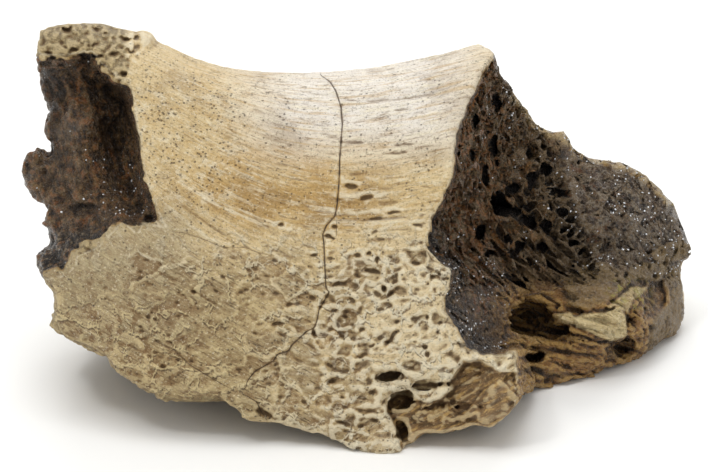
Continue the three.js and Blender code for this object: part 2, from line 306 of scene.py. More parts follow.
def flow(bone: Array) -> Array:
    """Coordinates that follow the bone's fibres.

    The fibres run level along the waist and fan out steeply towards the wide left end.

    Args:
        bone: Bone x, t and d, one row each.

    Returns:
        Along the fibres, across them round the shaft, and the depth, in mm, one row each.
    """
    x, t, d = bone.T
    fan = np.where(x < 0, 0.0125, 0.006) * x * x + 0.03 * np.maximum(-x, 0)
    level = t - fan * ramp(t, -30, 6)
    around = 25 * np.arctan2(level + 10, 15 - d)
    return np.stack([x, around, d], axis=1).astype(np.float32)


# ------------ The face: edges of the breaks, cracks, pores, plates and fibres, over bone x and t ------------

def gap_to_line(x: Array, t: Array, points: tuple) -> Array:
    """Distance on the face to a line through points.

    Args:
        x: Places along the bone.
        t: Places up its face.
        points: The line's points, x and t.

    Returns:
        Distances in mm.
    """
    nearest = np.full(x.shape, 99.0)
    for (ax, at), (bx, bt) in itertools.pairwise(points):
        along = ((x - ax) * (bx - ax) + (t - at) * (bt - at)) / ((bx - ax) ** 2 + (bt - at) ** 2)
        share = np.clip(along, 0, 1)
        nearest = np.minimum(nearest, np.hypot(x - ax - share * (bx - ax), t - at - share * (bt - at)))
    return nearest


def from_oval(x: Array, t: Array, oval: tuple) -> Array:
    """Distance from a turned oval's middle, 1 on its rim.

    Args:
        x: Places along the bone.
        t: Places up its face.
        oval: Its x, t, half length, half height and turn.

    Returns:
        Distances as shares of the way to the rim.
    """
    middle_x, middle_t, half_x, half_t, turn = oval
    cos, sin = math.cos(turn), math.sin(turn)
    along = ((x - middle_x) * cos + (t - middle_t) * sin) / half_x
    return np.hypot(along, ((t - middle_t) * cos - (x - middle_x) * sin) / half_t)


@dataclass(frozen=True)
class BreakEdge:
    """The line where a break leaves the skin, and corners that close its area beyond the bone.

    Attributes:
        edge: Points of the line, x and t.
        corners: Corners outside the bone.
    """

    edge: tuple
    corners: tuple

    def inward(self, x: Array, t: Array) -> Array:
        """Distance inside the break's edge line, less than 0 on the skin side."""
        nearest = gap_to_line(x, t, self.edge)
        inside = np.zeros(x.shape, dtype=bool)
        ring = [*self.edge, *self.corners]
        for (ax, at), (bx, bt) in zip(ring, ring[1:] + ring[:1]):
            if at != bt:
                inside ^= ((at > t) != (bt > t)) & (x < ax + (bx - ax) * (t - at) / (bt - at))
        return np.where(inside, nearest, -nearest)


RIGHT_BREAK = BreakEdge(
    edge=((21.5, 34), (21.5, 28), (19.4, 25.2), (17.8, 21.2), (16, 17.2), (14.9, 13.2), (15.1, 10.4),
          (13.4, 5.8), (12, 2.8), (11.1, -1.4), (11.7, -3.8), (14.4, -5.2), (14.3, -8), (13.2, -10.1),
          (14.1, -12.1), (15.5, -14.4), (17, -17.4), (19.5, -18.6), (22.9, -18.4), (24.6, -18),
          (25.2, -21.5), (25.2, -24), (24.8, -27), (22.5, -31), (21, -40)),
    corners=((64, -46), (64, 42), (30, 42)),
)
LEFT_BREAK = BreakEdge(
    edge=((-56, 27), (-48.1, 27.5), (-43.2, 27.8), (-40.2, 28.3), (-37.8, 25.5), (-35.6, 23.3),
          (-34.6, 24), (-33.9, 20.9), (-32.6, 13.2), (-31.3, 7.1), (-30.1, 4), (-29, 1.5), (-32.4, 2),
          (-33.3, 0.6), (-35.6, 2.2), (-39.3, -1.7), (-42.9, -3.1), (-42.7, -4.6), (-44.9, -6.3),
          (-56, -7)),
    corners=((-64, -7), (-64, 27)),
)

# The worn lobe at the bottom right of the skin, where a chip has left brown fibrous bone.
LOBE = BreakEdge(
    edge=((22.4, -20.9), (19.4, -19), (16.7, -19), (15.8, -20.7), (14.7, -22.4), (15.1, -23.5),
          (13.4, -24.7), (11.7, -25.4), (9.6, -24.9), (8.2, -24.3), (6.4, -24.2), (5.1, -25.3), (4.9, -27),
          (6.2, -29.4), (7.1, -31.3)),
    corners=((7.5, -36), (30, -36), (30, -21)),
)
# Worn edge of old outer bone along the top of the right end.
RIM_LINE = (
    (24.5, 21.6), (26.6, 19), (27.8, 17.3), (30.3, 15.6), (31.8, 15.8), (33.5, 13.6), (36.1, 11.9),
    (41.8, 10.7), (44.9, 8.8), (47.3, 6.8), (49.3, 4.1),
)


class Course(Enum):
    """The way a crack runs, named for the bone direction that its points are put in order along."""

    ALONG = 0
    DOWN = 1


@dataclass(frozen=True)
class Crack:
    """A hairline crack on the face.

    Attributes:
        points: Its course, x and t, in order.
        course: Whether it runs down the face or along the bone.
        half_width: Half its width where it is widest.
        strength: How dark and deep it is, up to 1.
    """

    points: tuple
    course: Course
    half_width: float
    strength: float = 1.0

    def offset(self, x: Array, t: Array) -> Array:
        """Signed distance from the crack's middle, as a share of its half width; it grows past both ends."""
        course = np.array(self.points, dtype=float)
        along, across = (t, x) if self.course is Course.DOWN else (x, t)
        order = np.argsort(course[:, self.course.value])
        steps = course[order, self.course.value]
        places = course[order, 1 - self.course.value]
        middle = np.interp(along, steps, places)
        slope = (np.interp(along + 0.4, steps, places) - np.interp(along - 0.4, steps, places)) / 0.8
        gap = (across - middle) / np.sqrt(1 + slope * slope)
        past = np.maximum(steps[0] - along, along - steps[-1])
        taper = np.clip(-past / 3.0, 0, 1) * 0.75 + 0.25
        share = gap / (self.half_width * taper)
        return np.where(past > 0, np.sign(share) * (np.abs(share) + 1 + 20 * past), share)


CRACKS = (
    Crack(((-5.6, 26.5), (-5.1, 24.7), (-3.7, 23.7), (-2.8, 22.3), (-2, 19.8), (-1.8, 17.2), (-2, 14.3),
           (-2.2, 11.7), (-2.3, 8.3), (-2.6, 4.8), (-2.9, 3.1), (-4.3, 1.5), (-4.8, 0.2), (-4.6, -1.5),
           (-4.5, -4.3), (-4.3, -8.1), (-3.8, -8.6), (-5.4, -11.4), (-5.7, -13.1), (-6.1, -14.1),
           (-7.2, -14.6), (-9.5, -16.7), (-10.1, -17.7), (-11.7, -18.1), (-12.4, -19.2), (-14.9, -20.6),
           (-15.4, -21), (-16.4, -22.3), (-16.6, -23.3), (-18.3, -24)), Course.DOWN, 0.14),
    Crack(((-2.7, 3), (-2.7, -0.2), (-3.4, -0.8), (-4.7, -1)), Course.DOWN, 0.1, 0.8),
    Crack(((-28.9, 1.2), (-27.8, 0.6), (-26.1, 0.5), (-24, -0.2), (-22.3, -0.8), (-20.3, -1.7),
           (-18.6, -1.8), (-16.6, -1.7), (-15.7, -2.2), (-13.2, -2.9),
           (-11.7, -3.1)), Course.ALONG, 0.08, 0.5),
    Crack(((-31.5, -15.8), (-27.8, -17.4), (-25.2, -19.8), (-22.1, -21.7), (-19.8, -23),
           (-17.8, -24.1)), Course.ALONG, 0.1, 0.8),
    Crack(((-17.2, -24.2), (-16.4, -24.6), (-14.9, -25.5), (-14.4, -26.7),
           (-13.2, -28.6)), Course.DOWN, 0.22),
    Crack(((-31.6, 9.2), (-30.7, 9.1), (-29.2, 8.8), (-26.8, 9.5)), Course.ALONG, 0.07, 0.5),
)

# The main crack's line, run on past both ends: the weathered skin is made in two pieces that meet along it.
CRACK_SPLIT = BreakEdge(
    edge=((-6.2, 42), *CRACKS[0].points[:-1], (-17.2, -24.2), *CRACKS[4].points[1:], (-12.5, -44)),
    corners=((64, -44), (64, 42)),
)

# Where the spongy bone of the right break gives way to slabs and splinters below.
SLAB_LINE = BreakEdge(
    edge=((4, -8.5), (14, -7.8), (20, -9.4), (26, -9.2), (31, -8.4), (33.5, -5.3), (36, -3.5), (39, -4),
          (42, -4.4), (44.5, -3.6), (46, -2.2), (48, -1.1), (66, -0.6)),
    corners=((66, -46), (4, -46)),
)

# Single pores and hollows on the face: x, t, half length, half height, depth, turn.
PORES = (
    (-20.3, -6.5, 0.5, 0.3, 0.7, 0), (-26.9, -8.6, 0.5, 0.25, 0.6, -0.3),
    (-24.7, -8.6, 0.45, 0.35, 0.7, 0), (-24.4, -10.3, 0.4, 0.3, 0.6, 0.2),
    (-26.9, -10.4, 0.3, 0.25, 0.5, 0), (-29.5, -9.8, 1.1, 0.3, 0.5, 0.1), (-21.4, -8.4, 0.35, 0.3, 0.5, 0),
    (-11.2, 1.7, 0.5, 0.3, 0.8, 0), (-3.6, -0.4, 1.1, 0.3, 0.8, -0.2), (-2.9, 1.2, 0.5, 0.3, 0.7, 0),
    (-6.3, -2.8, 0.7, 0.3, 0.7, 0.3), (2.2, -2.8, 0.4, 0.35, 0.9, 0), (0.5, -3.1, 0.7, 0.45, 0.9, -0.3),
    (3.4, -3.9, 0.5, 0.7, 0.9, 0), (2.6, -5.5, 1.5, 0.45, 0.9, -0.1), (-2.2, -7.5, 1.3, 0.5, 0.7, 0.2),
    (4.6, -8, 0.6, 0.5, 1, 0), (7.1, -8.3, 1.3, 0.8, 0.9, -0.3), (3.7, -8.9, 1, 0.5, 0.8, -0.4),
    (-0.5, -9.8, 0.4, 0.6, 0.7, 0.3), (-11.7, -13.5, 1.3, 0.35, 0.6, 0.1),
    (0.8, -11.4, 0.6, 0.9, 0.7, -0.3), (1.2, -14.7, 0.7, 0.4, 0.8, 0.6), (5.7, -15.5, 1.9, 0.5, 1, 0.9),
    (9.5, -4.3, 0.8, 0.35, 0.8, 0), (4.3, -11.1, 0.8, 0.3, 0.7, 0), (11, -17, 0.45, 0.4, 1, 0.2),
    (11.4, -18, 0.5, 0.45, 1, 0.2), (12.7, -14.9, 0.35, 0.3, 0.6, 0), (13.2, -13.4, 0.5, 0.25, 0.6, 0.3),
    (-0.6, 7.8, 1.2, 0.45, 0.9, -0.15), (1.8, 5.9, 1.1, 0.6, 0.9, 0), (8.6, -13.8, 0.5, 0.25, 0.6, 0),
    (6.5, -13.2, 0.4, 0.3, 0.6, 0), (2.8, -16.7, 0.7, 0.3, 0.7, 0.4), (-1.4, -12.6, 0.5, 0.4, 0.6, 0),
    (-0.3, -14, 0.4, 0.4, 0.6, 0.5), (-7.5, -8.8, 1.8, 0.25, 0.5, -0.5), (-13.5, -6.2, 0.4, 0.3, 0.5, 0),
    (9.6, 1.6, 0.9, 0.3, 0.6, 0), (3.2, 0.6, 0.7, 0.25, 0.5, 0.2), (6.2, 3.3, 1.2, 0.25, 0.6, 0.1),
    (-13.9, -27.3, 1.5, 0.8, 1.8, -0.35), (-6.3, -15, 0.35, 0.75, 1.4, 0.25),
)


class Surface(Enum):
    """What a facet of broken bone is like; the darkest kind marks sunk places that the finish gives painted
    shade.
    """

    PLAIN = 0
    PALE = 1
    GREY = 2
    DARK = 3
    POROUS = 4


@dataclass(frozen=True)
class Facet:
    """A patch of bone with its own height and surface.

    Attributes:
        outline: Its corners, x and t, in order.
        height: How far it stands out, or is sunk where less than 0.
        surface: What it is like.
        soft: How wide its sloping edge is.
        strength: How strongly its surface shows.
    """

    outline: tuple
    height: float
    surface: Surface = Surface.PLAIN
    soft: float = 0.3
    strength: float = 1.0

    def share(self, x: Array, t: Array, ragged: Array) -> Array:
        """1 on the facet and 0 beside it, with a ragged edge."""
        inward = BreakEdge((*self.outline, self.outline[0]), ()).inward(x, t)
        return ramp(inward + ragged, -self.soft / 2, self.soft / 2)

    def tilt(self, t: Array) -> Array:
        """A hollow is deepest below its upper edge: shares of its depth down the face."""
        low, high = (pick(corner[1] for corner in self.outline) for pick in (min, max))
        return ramp(t, low - 0.4 * (high - low), high) if self.height < 0 else np.ones_like(t)


# Slabs, splinters and gaps of the two breaks; the darkest kind of facet is given painted shade.
BREAK_FACETS = (
    Facet(((32.6, -10.8), (32.3, -7.7), (33.5, -5.5), (35.9, -3.8), (38.7, -4.3), (41.2, -5.8),
           (42.1, -6.9), (40.9, -8.9), (38.7, -10.4), (36.2, -11.2)), 0.5, Surface.GREY, 0.9, 0.8),
    Facet(((38.7, -10.8), (41.5, -8.9), (43, -7.7), (45.3, -7.6), (44.9, -8.7), (43, -9.8), (42.4, -10.8),
           (42.2, -12.4), (40.9, -10.8), (39, -11.4)), 0.4, Surface.PALE, 0.4, 0.55),
    Facet(((33.6, -12.4), (35.6, -12.1), (38.7, -11.7), (40.9, -10.8), (41.9, -12.4), (41.8, -13.8),
           (41.8, -15.1), (40, -16), (38.7, -15.7), (35.9, -14.7), (34.1, -14.1)), 0.7, Surface.PALE),
    Facet(((29.8, -12.4), (31.9, -11.7), (33.6, -11.9), (33.9, -13.8),
           (31.9, -13.4)), 0.5, Surface.PALE, 0.3, 0.7),
    Facet(((42.1, -6.5), (42.4, -4.6), (44.5, -3.9), (48.1, -4.1), (47.9, -5.5), (46.7, -6.9),
           (44.2, -6.8)), 0.35, Surface.GREY),
    Facet(((44.1, -10.8), (44.5, -8.9), (45.5, -7.2), (47.3, -6.8), (48.2, -8.6), (48.1, -10.1),
           (47, -12.3), (45.5, -12.7), (44.4, -12)), -0.7, Surface.DARK, 0.5, 0.7),
    Facet(((45.8, -12.9), (48.2, -10.4), (48.4, -8.3), (47.9, -5.8), (50.1, -3.4), (56, -4), (56, -15),
           (50.1, -15.1), (47.6, -16.6), (45.9, -18.7), (44.9, -18.1),
           (45.3, -15.1)), -0.15, Surface.GREY),
    Facet(((45.6, -2.5), (47.6, -1.5), (50.1, -0.8), (54, -1.5), (54, -3.4), (50.2, -3.8), (47.6, -4.2),
           (45.8, -3.5)), 0.4, Surface.GREY, 0.6),
    Facet(((42.1, -12.9), (43.9, -12.4), (45.3, -12.9), (45.2, -15.1), (44.7, -19.4), (43.3, -20.3),
           (41.5, -20.3), (40.7, -19.5), (41.8, -18.3), (43.3, -17.8), (43, -16), (42.1, -15.1)), 0.3),
    Facet(((38.7, -17.2), (39.3, -16.4), (41.5, -16), (42.1, -15.4), (43, -16.1), (43.3, -17.7),
           (41.8, -18.2), (40.6, -19), (38.9, -19)), -0.5, Surface.DARK),
    Facet(((26.7, -12.3), (31, -14.1), (33.5, -14.8), (36.2, -15.4), (38.9, -16.1), (38.7, -16.7),
           (35.9, -16.1), (33.2, -15.5), (30.7, -14.9), (26.7, -13.4)), -0.5, Surface.DARK, 0.2),
    Facet(((33.2, -15.7), (35.9, -16.2), (39, -16.7), (38.7, -17.8), (38.5, -19.7), (36.2, -20.4),
           (34.1, -20.7), (33.2, -20), (33.5, -17.8), (32.6, -16.6)), 0.35),
    Facet(((21.5, -12.6), (22.4, -10.8), (25.5, -10.1), (29.3, -11.1), (31.6, -12.6), (32.6, -14.4),
           (36.2, -15.7), (32.6, -16.4), (27, -15.7), (23.2, -16.3),
           (21.5, -14.7)), 0.1, Surface.DARK, 0.8, 0.6),
    Facet(((25.2, -18.7), (26.7, -17.8), (29.3, -18), (28.6, -19.4),
           (26.1, -19.7)), -0.6, Surface.DARK, 0.5),
    Facet(((22.1, -16.9), (25.5, -16.4), (29.8, -17.4), (32.6, -17.8), (29.8, -18.1), (25.8, -17.5),
           (22.4, -17.8)), -0.5, Surface.DARK),
    Facet(((23.2, -20.9), (27, -20), (31.6, -20.9), (34.7, -21.2), (31, -22), (26.7, -21.2),
           (23.7, -21.8)), -0.4, Surface.DARK),
    Facet(((-48, 26.6), (-46.7, 26.9), (-45.2, 24.3), (-43.9, 22), (-44.7, 20.3), (-45.2, 17.2),
           (-46.1, 13.5), (-47, 13.5), (-46.7, 16), (-47, 18.4), (-47.7, 23)), -0.3, Surface.DARK, 0.5),
    Facet(((-40.1, 26.6), (-38.7, 28), (-36.6, 28.3), (-34.7, 27.3), (-34.7, 25.5), (-35.6, 24.1),
           (-36.9, 23.3), (-38.1, 24), (-39, 25.2)), 0.3, Surface.POROUS),
    Facet(((-41.2, 24.3), (-39.3, 24), (-36.9, 23), (-35, 20.3), (-33.5, 17.2), (-32.6, 13.5),
           (-32.9, 9.8), (-34.1, 5.5), (-35.9, 4.6), (-36.9, 9.8), (-38.4, 14.7),
           (-39.9, 19.7)), -0.7, soft=1.2),
    Facet(((-43.3, -1.2), (-42.1, -0.3), (-40.2, -0.5), (-39.3, -1.5), (-40.2, -2.5),
           (-42.4, -2.5)), 0.4, Surface.POROUS),
    Facet(((-43.6, 4.3), (-41.8, 4.9), (-39.5, 4.5), (-39.9, 3.1),
           (-42.7, 2.9)), -0.8, Surface.DARK, 0.8, 0.7),
)

# Hollows and ledges of the worn skin low on the right.
SKIN_FACETS = (
    Facet(((1.8, -21), (2.8, -20.4), (7.4, -20.7), (8, -21.8), (6.1, -22.6), (4, -23), (2.5, -23.2),
           (1.7, -22.1)), -0.5, soft=0.6),
    Facet(((4.2, -24), (8.4, -23.2), (12, -23.6), (13.6, -24.6), (11, -25.4), (9, -26.6), (8.2, -29),
           (6, -30), (4, -28.6), (3.8, -26)), -0.5, soft=0.7),
    Facet(((3.4, -21.4), (4, -21), (5.5, -20.9), (7.2, -21.5), (7.1, -21.8), (5.8, -22.1), (4.5, -22.6),
           (3.5, -22.4)), -0.55),
    Facet(((8.6, -22.9), (10.1, -22.7), (14.6, -22.7), (14.4, -23.3), (12, -23.3),
           (8.9, -23.3)), -0.6, soft=0.25),
    Facet(((12.1, -21.6), (13.2, -20.6), (15.7, -20.2), (14.8, -21.5), (14.4, -22), (12.6, -21.9)), -0.5),
    Facet(((5.7, -24.8), (6.3, -24.6), (7.1, -24.3), (7.7, -23.7), (8.7, -23.8), (9, -24.4), (8.4, -25.7),
           (8, -26.3), (6.8, -26.4), (5.8, -26)), -0.6, soft=0.6),
    Facet(((4.6, -26.9), (5.5, -26.4), (6.1, -26.9), (6.3, -27.8), (6, -28.7),
           (5.1, -28.2)), -0.5, soft=0.5),
    Facet(((10, -25), (10.8, -24.4), (12, -24.5), (11.7, -25), (10.6, -25.4)), -0.5),
    Facet(((7.1, -29), (7.6, -28.7), (8.2, -29), (7.8, -29.4)), -0.7),
    Facet(((5.9, -30.5), (6.8, -30.2), (8.1, -30.9), (7.7, -31.4), (6.5, -31.1)), -0.5),
    Facet(((-0.9, -30), (0, -30), (1.3, -30.7), (0.9, -31.1), (-0.3, -30.7)), -0.4),
    Facet(((6.1, -30.4), (7.1, -30), (8.3, -30.7), (9.4, -31.3), (8.9, -31.9), (7.1, -31.6)), 0.4),
    Facet(((-3.7, -28), (-0.6, -29.5), (3.7, -31), (6.9, -31), (7.1, -32.6), (5.8, -33.8), (2.5, -34),
           (-0.6, -33.1), (-3.7, -30.9)), 0.35),
    Facet(((21.2, -22.9), (22.4, -22.1), (26, -25.7), (26, -27.3), (21.5, -30), (20, -30), (17.5, -30),
           (15.2, -31), (16, -28.1), (17.2, -26.9), (19, -24.7)), 0.5, soft=0.25),
    Facet(((9.2, -27), (11.7, -25.7), (13.4, -25.1), (17, -26.6), (15.6, -27.9),
           (12, -27.3)), -0.6, soft=0.8),
)


@dataclass
class FaceMap:
    """A sheet of values over the bone's face, which places in the bone are read from.

    Attributes:
        x_from: Left end of the sheet.
        t_from: Its lower edge.
        columns: Its count of columns.
        rows: Its count of rows.
        step: Distance between two values.
    """

    x_from: float = -60.0
    t_from: float = -42.0
    columns: int = 600
    rows: int = 420
    step: float = 0.2

    def spots(self) -> tuple:
        """x and t of every value on the sheet."""
        x = self.x_from + self.step * np.arange(self.columns)
        t = self.t_from + self.step * np.arange(self.rows)
        return np.meshgrid(x.astype(np.float32), t.astype(np.float32), indexing="ij")

    def read(self, values: Array, bone: Array) -> Array:
        """Values at places in the bone.

        Args:
            values: A sheet.
            bone: Bone x, t and d, one row each.

        Returns:
            The sheet's value in front of each place.
        """
        x = np.clip((bone[:, 0] - self.x_from) / self.step, 0, self.columns - 1.001)
        t = np.clip((bone[:, 1] - self.t_from) / self.step, 0, self.rows - 1.001)
        i, j = x.astype(np.int32), t.astype(np.int32)
        a, b = x - i, t - j
        low = values[i, j] * (1 - b) + values[i, j + 1] * b
        high = values[i + 1, j] * (1 - b) + values[i + 1, j + 1] * b
        return low * (1 - a) + high * a


def soften(values: Array, times: int) -> Array:
    """Blurs an array along all its axes, a little each time."""
    for _ in range(times):
        for axis in range(values.ndim):
            values = (np.roll(values, 1, axis) + 2 * values + np.roll(values, -1, axis)) / 4
    return values


@dataclass
class FaceRelief:
    """All that stands up from or is sunk into the bone's weathered face, as heights over x and t.

    Attributes:
        sheet: Where the heights are kept.
        fibre_height: Height of the ribs along the fibres.
        plate_height: Height of the steps between the flaking plates.
        crack_depth: Depth of the cracks.
    """

    sheet: FaceMap = field(default_factory=FaceMap)
    fibre_height: float = 0.16
    plate_height: float = 0.3
    crack_depth: float = 0.28
    heights: Array = later()
    holes: Array = later()
    right: Array = later()
    left: Array = later()
    lobe: Array = later()
    tone: Array = later()
    recess: Array = later()
    crack: Array = later()
    slab: Array = later()
    steps: Array = later()
    surfaces: dict = later()
    cracks: list = later()

    def __post_init__(self) -> None:
        """Works out every sheet."""
        x, t = self.sheet.spots()
        self.tone = np.zeros_like(x)
        self.recess = np.zeros_like(x)
        ragged = self.ragged(x, t)
        self.right = (RIGHT_BREAK.inward(x, t) + 1.5 * ragged).astype(np.float32)
        self.left = (LEFT_BREAK.inward(x, t) + (0.8 + 1.6 * ramp(t, 23, 27)) * ragged).astype(np.float32)
        self.cracks = [crack.offset(x, t).astype(np.float32) for crack in CRACKS]
        self.crack = CRACK_SPLIT.inward(x, t).astype(np.float32)
        self.slab = (SLAB_LINE.inward(x, t) + ragged).astype(np.float32)
        self.surfaces = {surface: np.zeros_like(x) for surface in Surface if surface is not Surface.PLAIN}
        self.steps = self.faceted(x, t, BREAK_FACETS, ragged)
        skin = ramp(np.maximum(self.right, self.left), 0.3, -0.3)
        lobe = LOBE.inward(x, t) + 0.8 * ragged
        self.lobe = ramp(lobe, -0.1, 0.35).astype(np.float32)
        raised = (self.fibres(x, t) + self.plates(x, t) + self.network(x, t) + self.hatched(x, t)) * skin
        raised += self.chipped(x, t, lobe) + self.weathered(x, t) * skin
        raised += self.faceted(x, t, tuple(part for part in SKIN_FACETS if part.height > 0), ragged)
        frayed = ragged + 0.3 * lattice(19).layers(self.columns(x, t), 0.7, 2)
        sunk = self.faceted(x, t, tuple(part for part in SKIN_FACETS if part.height < 0), 1.2 * frayed)
        self.holes = self.pores(x, t) + self.rim_pits(x, t) - sunk
        grooves = np.zeros_like(x)
        for offset, crack in zip(self.cracks, CRACKS):
            wide = np.abs(offset) * crack.half_width
            grooves = np.maximum(grooves, ramp(wide, 0.24, 0.03) * self.crack_depth * crack.strength)
        self.heights = (raised - grooves * skin).astype(np.float32)

    def faceted(self, x: Array, t: Array, facets: tuple, ragged: Array) -> Array:
        """Heights of facets, each over those before it; their surfaces are noted on the way."""
        heights = np.zeros_like(x)
        for facet in facets:
            share = facet.share(x, t, ragged)
            heights = heights * (1 - 0.6 * share) + facet.height * share * facet.tilt(t)
            for surface, shown in self.surfaces.items():
                fresh = share * facet.strength * (facet.surface is surface)
                self.surfaces[surface] = shown * (1 - share) + fresh
        return heights.astype(np.float32)

    def columns(self, x: Array, t: Array, wobble: float = 0.0) -> Array:
        """The sheet's places as points, bent a little by noise."""
        flat = np.stack([x, t, np.full_like(x, 0.5)], axis=-1)
        if wobble:
            flat[..., 0] += wobble * lattice(11).layers(flat, 5.0)
            flat[..., 1] += wobble * lattice(12).layers(flat, 5.0)
        return flat

    def fibres(self, x: Array, t: Array) -> Array:
        """Long ribs and slits that follow the bone's fibres."""
        flat = self.columns(x, t, 0.25)
        along = flat[..., 0]
        fan = np.where(along < 0, 0.0125, 0.006) * along ** 2 + 0.03 * np.maximum(-along, 0)
        flat[..., 1] -= fan * ramp(flat[..., 1], -30, 6)
        broad = lattice(21).noise(flat, (11, 1.25, 1))
        fine = lattice(22).noise(flat, (6, 0.6, 1))
        slits = ramp(lattice(23).noise(flat, (3.6, 0.62, 1)), 0.42, 0.72)
        long_slits = ramp(lattice(24).noise(flat, (5.5, 0.8, 1)), 0.48, 0.72)
        upper = ramp(t, -7, 2)
        ribbed = patch(x, t, (-2, 14, 0, 23), 3)
        waist = patch(x, t, (-32, 14, 1, 24), 4)
        strength = (0.25 + 0.75 * upper) * (1 - 0.6 * ramp(x, -20, -30))
        heights = strength * (broad * (0.8 + 0.6 * ribbed) + 0.8 * fine) * self.fibre_height
        heights -= ribbed * (0.2 * slits + 0.24 * long_slits)
        return heights - 0.1 * waist * slits

    def ragged(self, x: Array, t: Array) -> Array:
        """Small wanderings that broken edges make."""
        flat = self.columns(x, t)
        return 0.4 * lattice(15).layers(flat, 3.0, 2) + 0.34 * lattice(16).layers(flat, 1.1, 3)

    def weathered(self, x: Array, t: Array) -> Array:
        """The fine roughness of weathered bone, strongest low on the face."""
        flat = self.columns(x, t)
        level = flat * np.array([0.55, 1, 1], dtype=np.float32)
        coarse = lattice(17).layers(level, 0.95, 2)
        crests = 0.5 - np.abs(lattice(18).layers(level, 1.5, 3)) * 2
        low = ramp(t, 6, -8) * (1 - 0.75 * patch(x, t, (-46, -29, -9, 2), 4))
        return (0.05 + 0.12 * low) * coarse + (0.04 + 0.1 * low) * crests

    def hatched(self, x: Array, t: Array) -> Array:
        """Short fine cuts that slant across the sunk fields."""
        flat = self.columns(x, t, 0.3)
        along, up = flat[..., 0], flat[..., 1]
        total = np.zeros_like(x)
        for turn, seed, share in ((-0.5, 28, ramp(x, 2, -6)), (0.65, 29, ramp(x, -6, 2))):
            cos, sin = math.cos(turn), math.sin(turn)
            turned = np.stack([along * cos + up * sin, up * cos - along * sin, flat[..., 2]], axis=-1)
            cuts = ramp(lattice(seed).noise(turned, (2.4, 0.55, 1)), 0.1, 0.6)
            total -= 0.22 * share * cuts
        return total * (0.35 * ramp(t, 2, -6) + 0.9 * self.recess)

    def chipped(self, x: Array, t: Array, lobe: Array) -> Array:
        """The chip out of the bottom right lobe, with its fibres rising to the right."""
        flat = self.columns(x, t, 0.6)
        along, up = flat[..., 0], flat[..., 1]
        flat = np.stack([along + 0.6 * up, up - 0.6 * along, flat[..., 2]], axis=-1)
        fibre = lattice(25).noise(flat, (6, 0.9, 1)) + 0.7 * lattice(26).noise(flat, (3, 0.5, 1))
        ledge = lattice(27).layers(flat, (6, 2.6, 1), 2)
        drop = ramp(lobe, -0.1, 0.3) * (1.1 - 0.5 * ramp(x, 17, 24))
        drop += 0.5 * ramp(lobe, 0.2, 1.4) * ledge
        crumbs = lattice(30).layers(self.columns(x, t), 0.9, 2)
        return ramp(lobe, 0, 0.8) * (0.2 * fibre + 0.16 * crumbs) - drop

    def plates(self, x: Array, t: Array) -> Array:
        """Thin plates that have flaked off in steps, low on the left half."""
        flat = self.columns(x, t, 1.9)
        frayed = flat + 0.4 * bends(34, flat, 1.3)
        _, border, tag = lattice(31).cells(frayed, (6.4, 3.8, 1), flat=True)
        border = border + 0.07 * lattice(37).layers(flat, 1.6, 2) + 0.05
        step = tag * ramp(border, 0.0, 0.12)
        _, fine_border, fine_tag = lattice(32).cells(frayed, (2.6, 1.5, 1), flat=True)
        fine_step = fine_tag * ramp(fine_border, 0.0, 0.12)
        where = patch(x, t, (-32, 0, -32, -4), 4) + 0.5 * patch(x, t, (-46, -32, -24, -8), 4)
        heights = step * 0.75 + fine_step * 0.35
        sunk = ramp(border, 0.04, 0.2) * ramp(tag, -0.2, 0.5)
        self.recess = np.maximum(self.recess, np.minimum(where, 1) * sunk)
        self.tone = self.tone + where * (0.7 * tag + 0.3 * fine_tag)
        pocked, _, pock = lattice(33).cells(self.columns(x, t, 0.3), (1.3, 0.7, 1), flat=True)
        pocks = ramp(pocked, 0.5, 0.2) * ramp(pock, 0.1, 0.5)
        lip = np.exp(-((border - 0.04) / 0.04) ** 2) * ramp(fine_tag, -0.2, 0.4)
        return where * (heights * self.plate_height - 0.14 * sunk + 0.08 * lip
                        - 0.3 * pocks * ramp(tag, 0.2, -0.3))

    def network(self, x: Array, t: Array) -> Array:
        """The rough net of pale ridges round sunk and pitted fields, low on the right half."""
        flat = self.columns(x, t, 0.7)
        frayed = flat + 0.4 * bends(44, flat, 0.9)
        _, border, tag = lattice(41).cells(frayed, (3.7, 2.3, 1), flat=True)
        border = border + 0.1 * lattice(48).layers(flat, 1.3, 2)
        sunk = ramp(border, 0.06, 0.24) * ramp(tag, -0.25, 0.45)
        fine_near, _, fine_tag = lattice(42).cells(frayed, (1.25, 0.85, 1), flat=True)
        fine_pits = ramp(fine_near, 0.5, 0.2) * ramp(fine_tag, 0.0, 0.35)
        crest = 1 - 2.4 * np.abs(lattice(43).layers(frayed, (2.8, 1.7, 1), 2))
        fray = 1 - 2.4 * np.abs(lattice(47).noise(frayed, (1.3, 0.8, 1)))
        where = patch(x, t, (-3, 30, -36, -3), 3.0)
        left = 0.3 * patch(x, t, (-48, -4, -30, -12), 4) + 0.4 * patch(x, t, (-12, 14, -8, 8), 3)
        clumps = ramp(lattice(49).layers(flat, 4.0, 2), -0.1, 0.3)
        fine_pits = fine_pits * (0.25 + 0.75 * clumps)
        self.recess = np.maximum(self.recess, where * sunk)
        heights = 0.14 * crest + 0.08 * fray - 0.5 * sunk - fine_pits * (0.25 + 0.35 * sunk)
        gentle = 0.1 * crest + 0.12 * fray - 0.08 * sunk - 0.26 * fine_pits
        return where * heights + left * gentle

    def pores(self, x: Array, t: Array) -> Array:
        """Single pores with a low lip round each."""
        sunk = np.zeros_like(x)
        bent = self.columns(x, t, 0.3)
        for axis, seed in ((0, 13), (1, 14)):
            bent[..., axis] += 0.5 * lattice(seed).layers(bent, 1.3, 3)
        px, pt = bent[..., 0], bent[..., 1]
        for *oval, depth, turn in PORES:
            far = from_oval(px, pt, (*oval, turn))
            sunk = np.maximum(sunk, 0.75 * depth * ramp(far, 1.15, 0.45))
            sunk -= 0.1 * np.exp(-(((far - 1.45) / 0.3) ** 2)) * (sunk < 0.05)
        return sunk

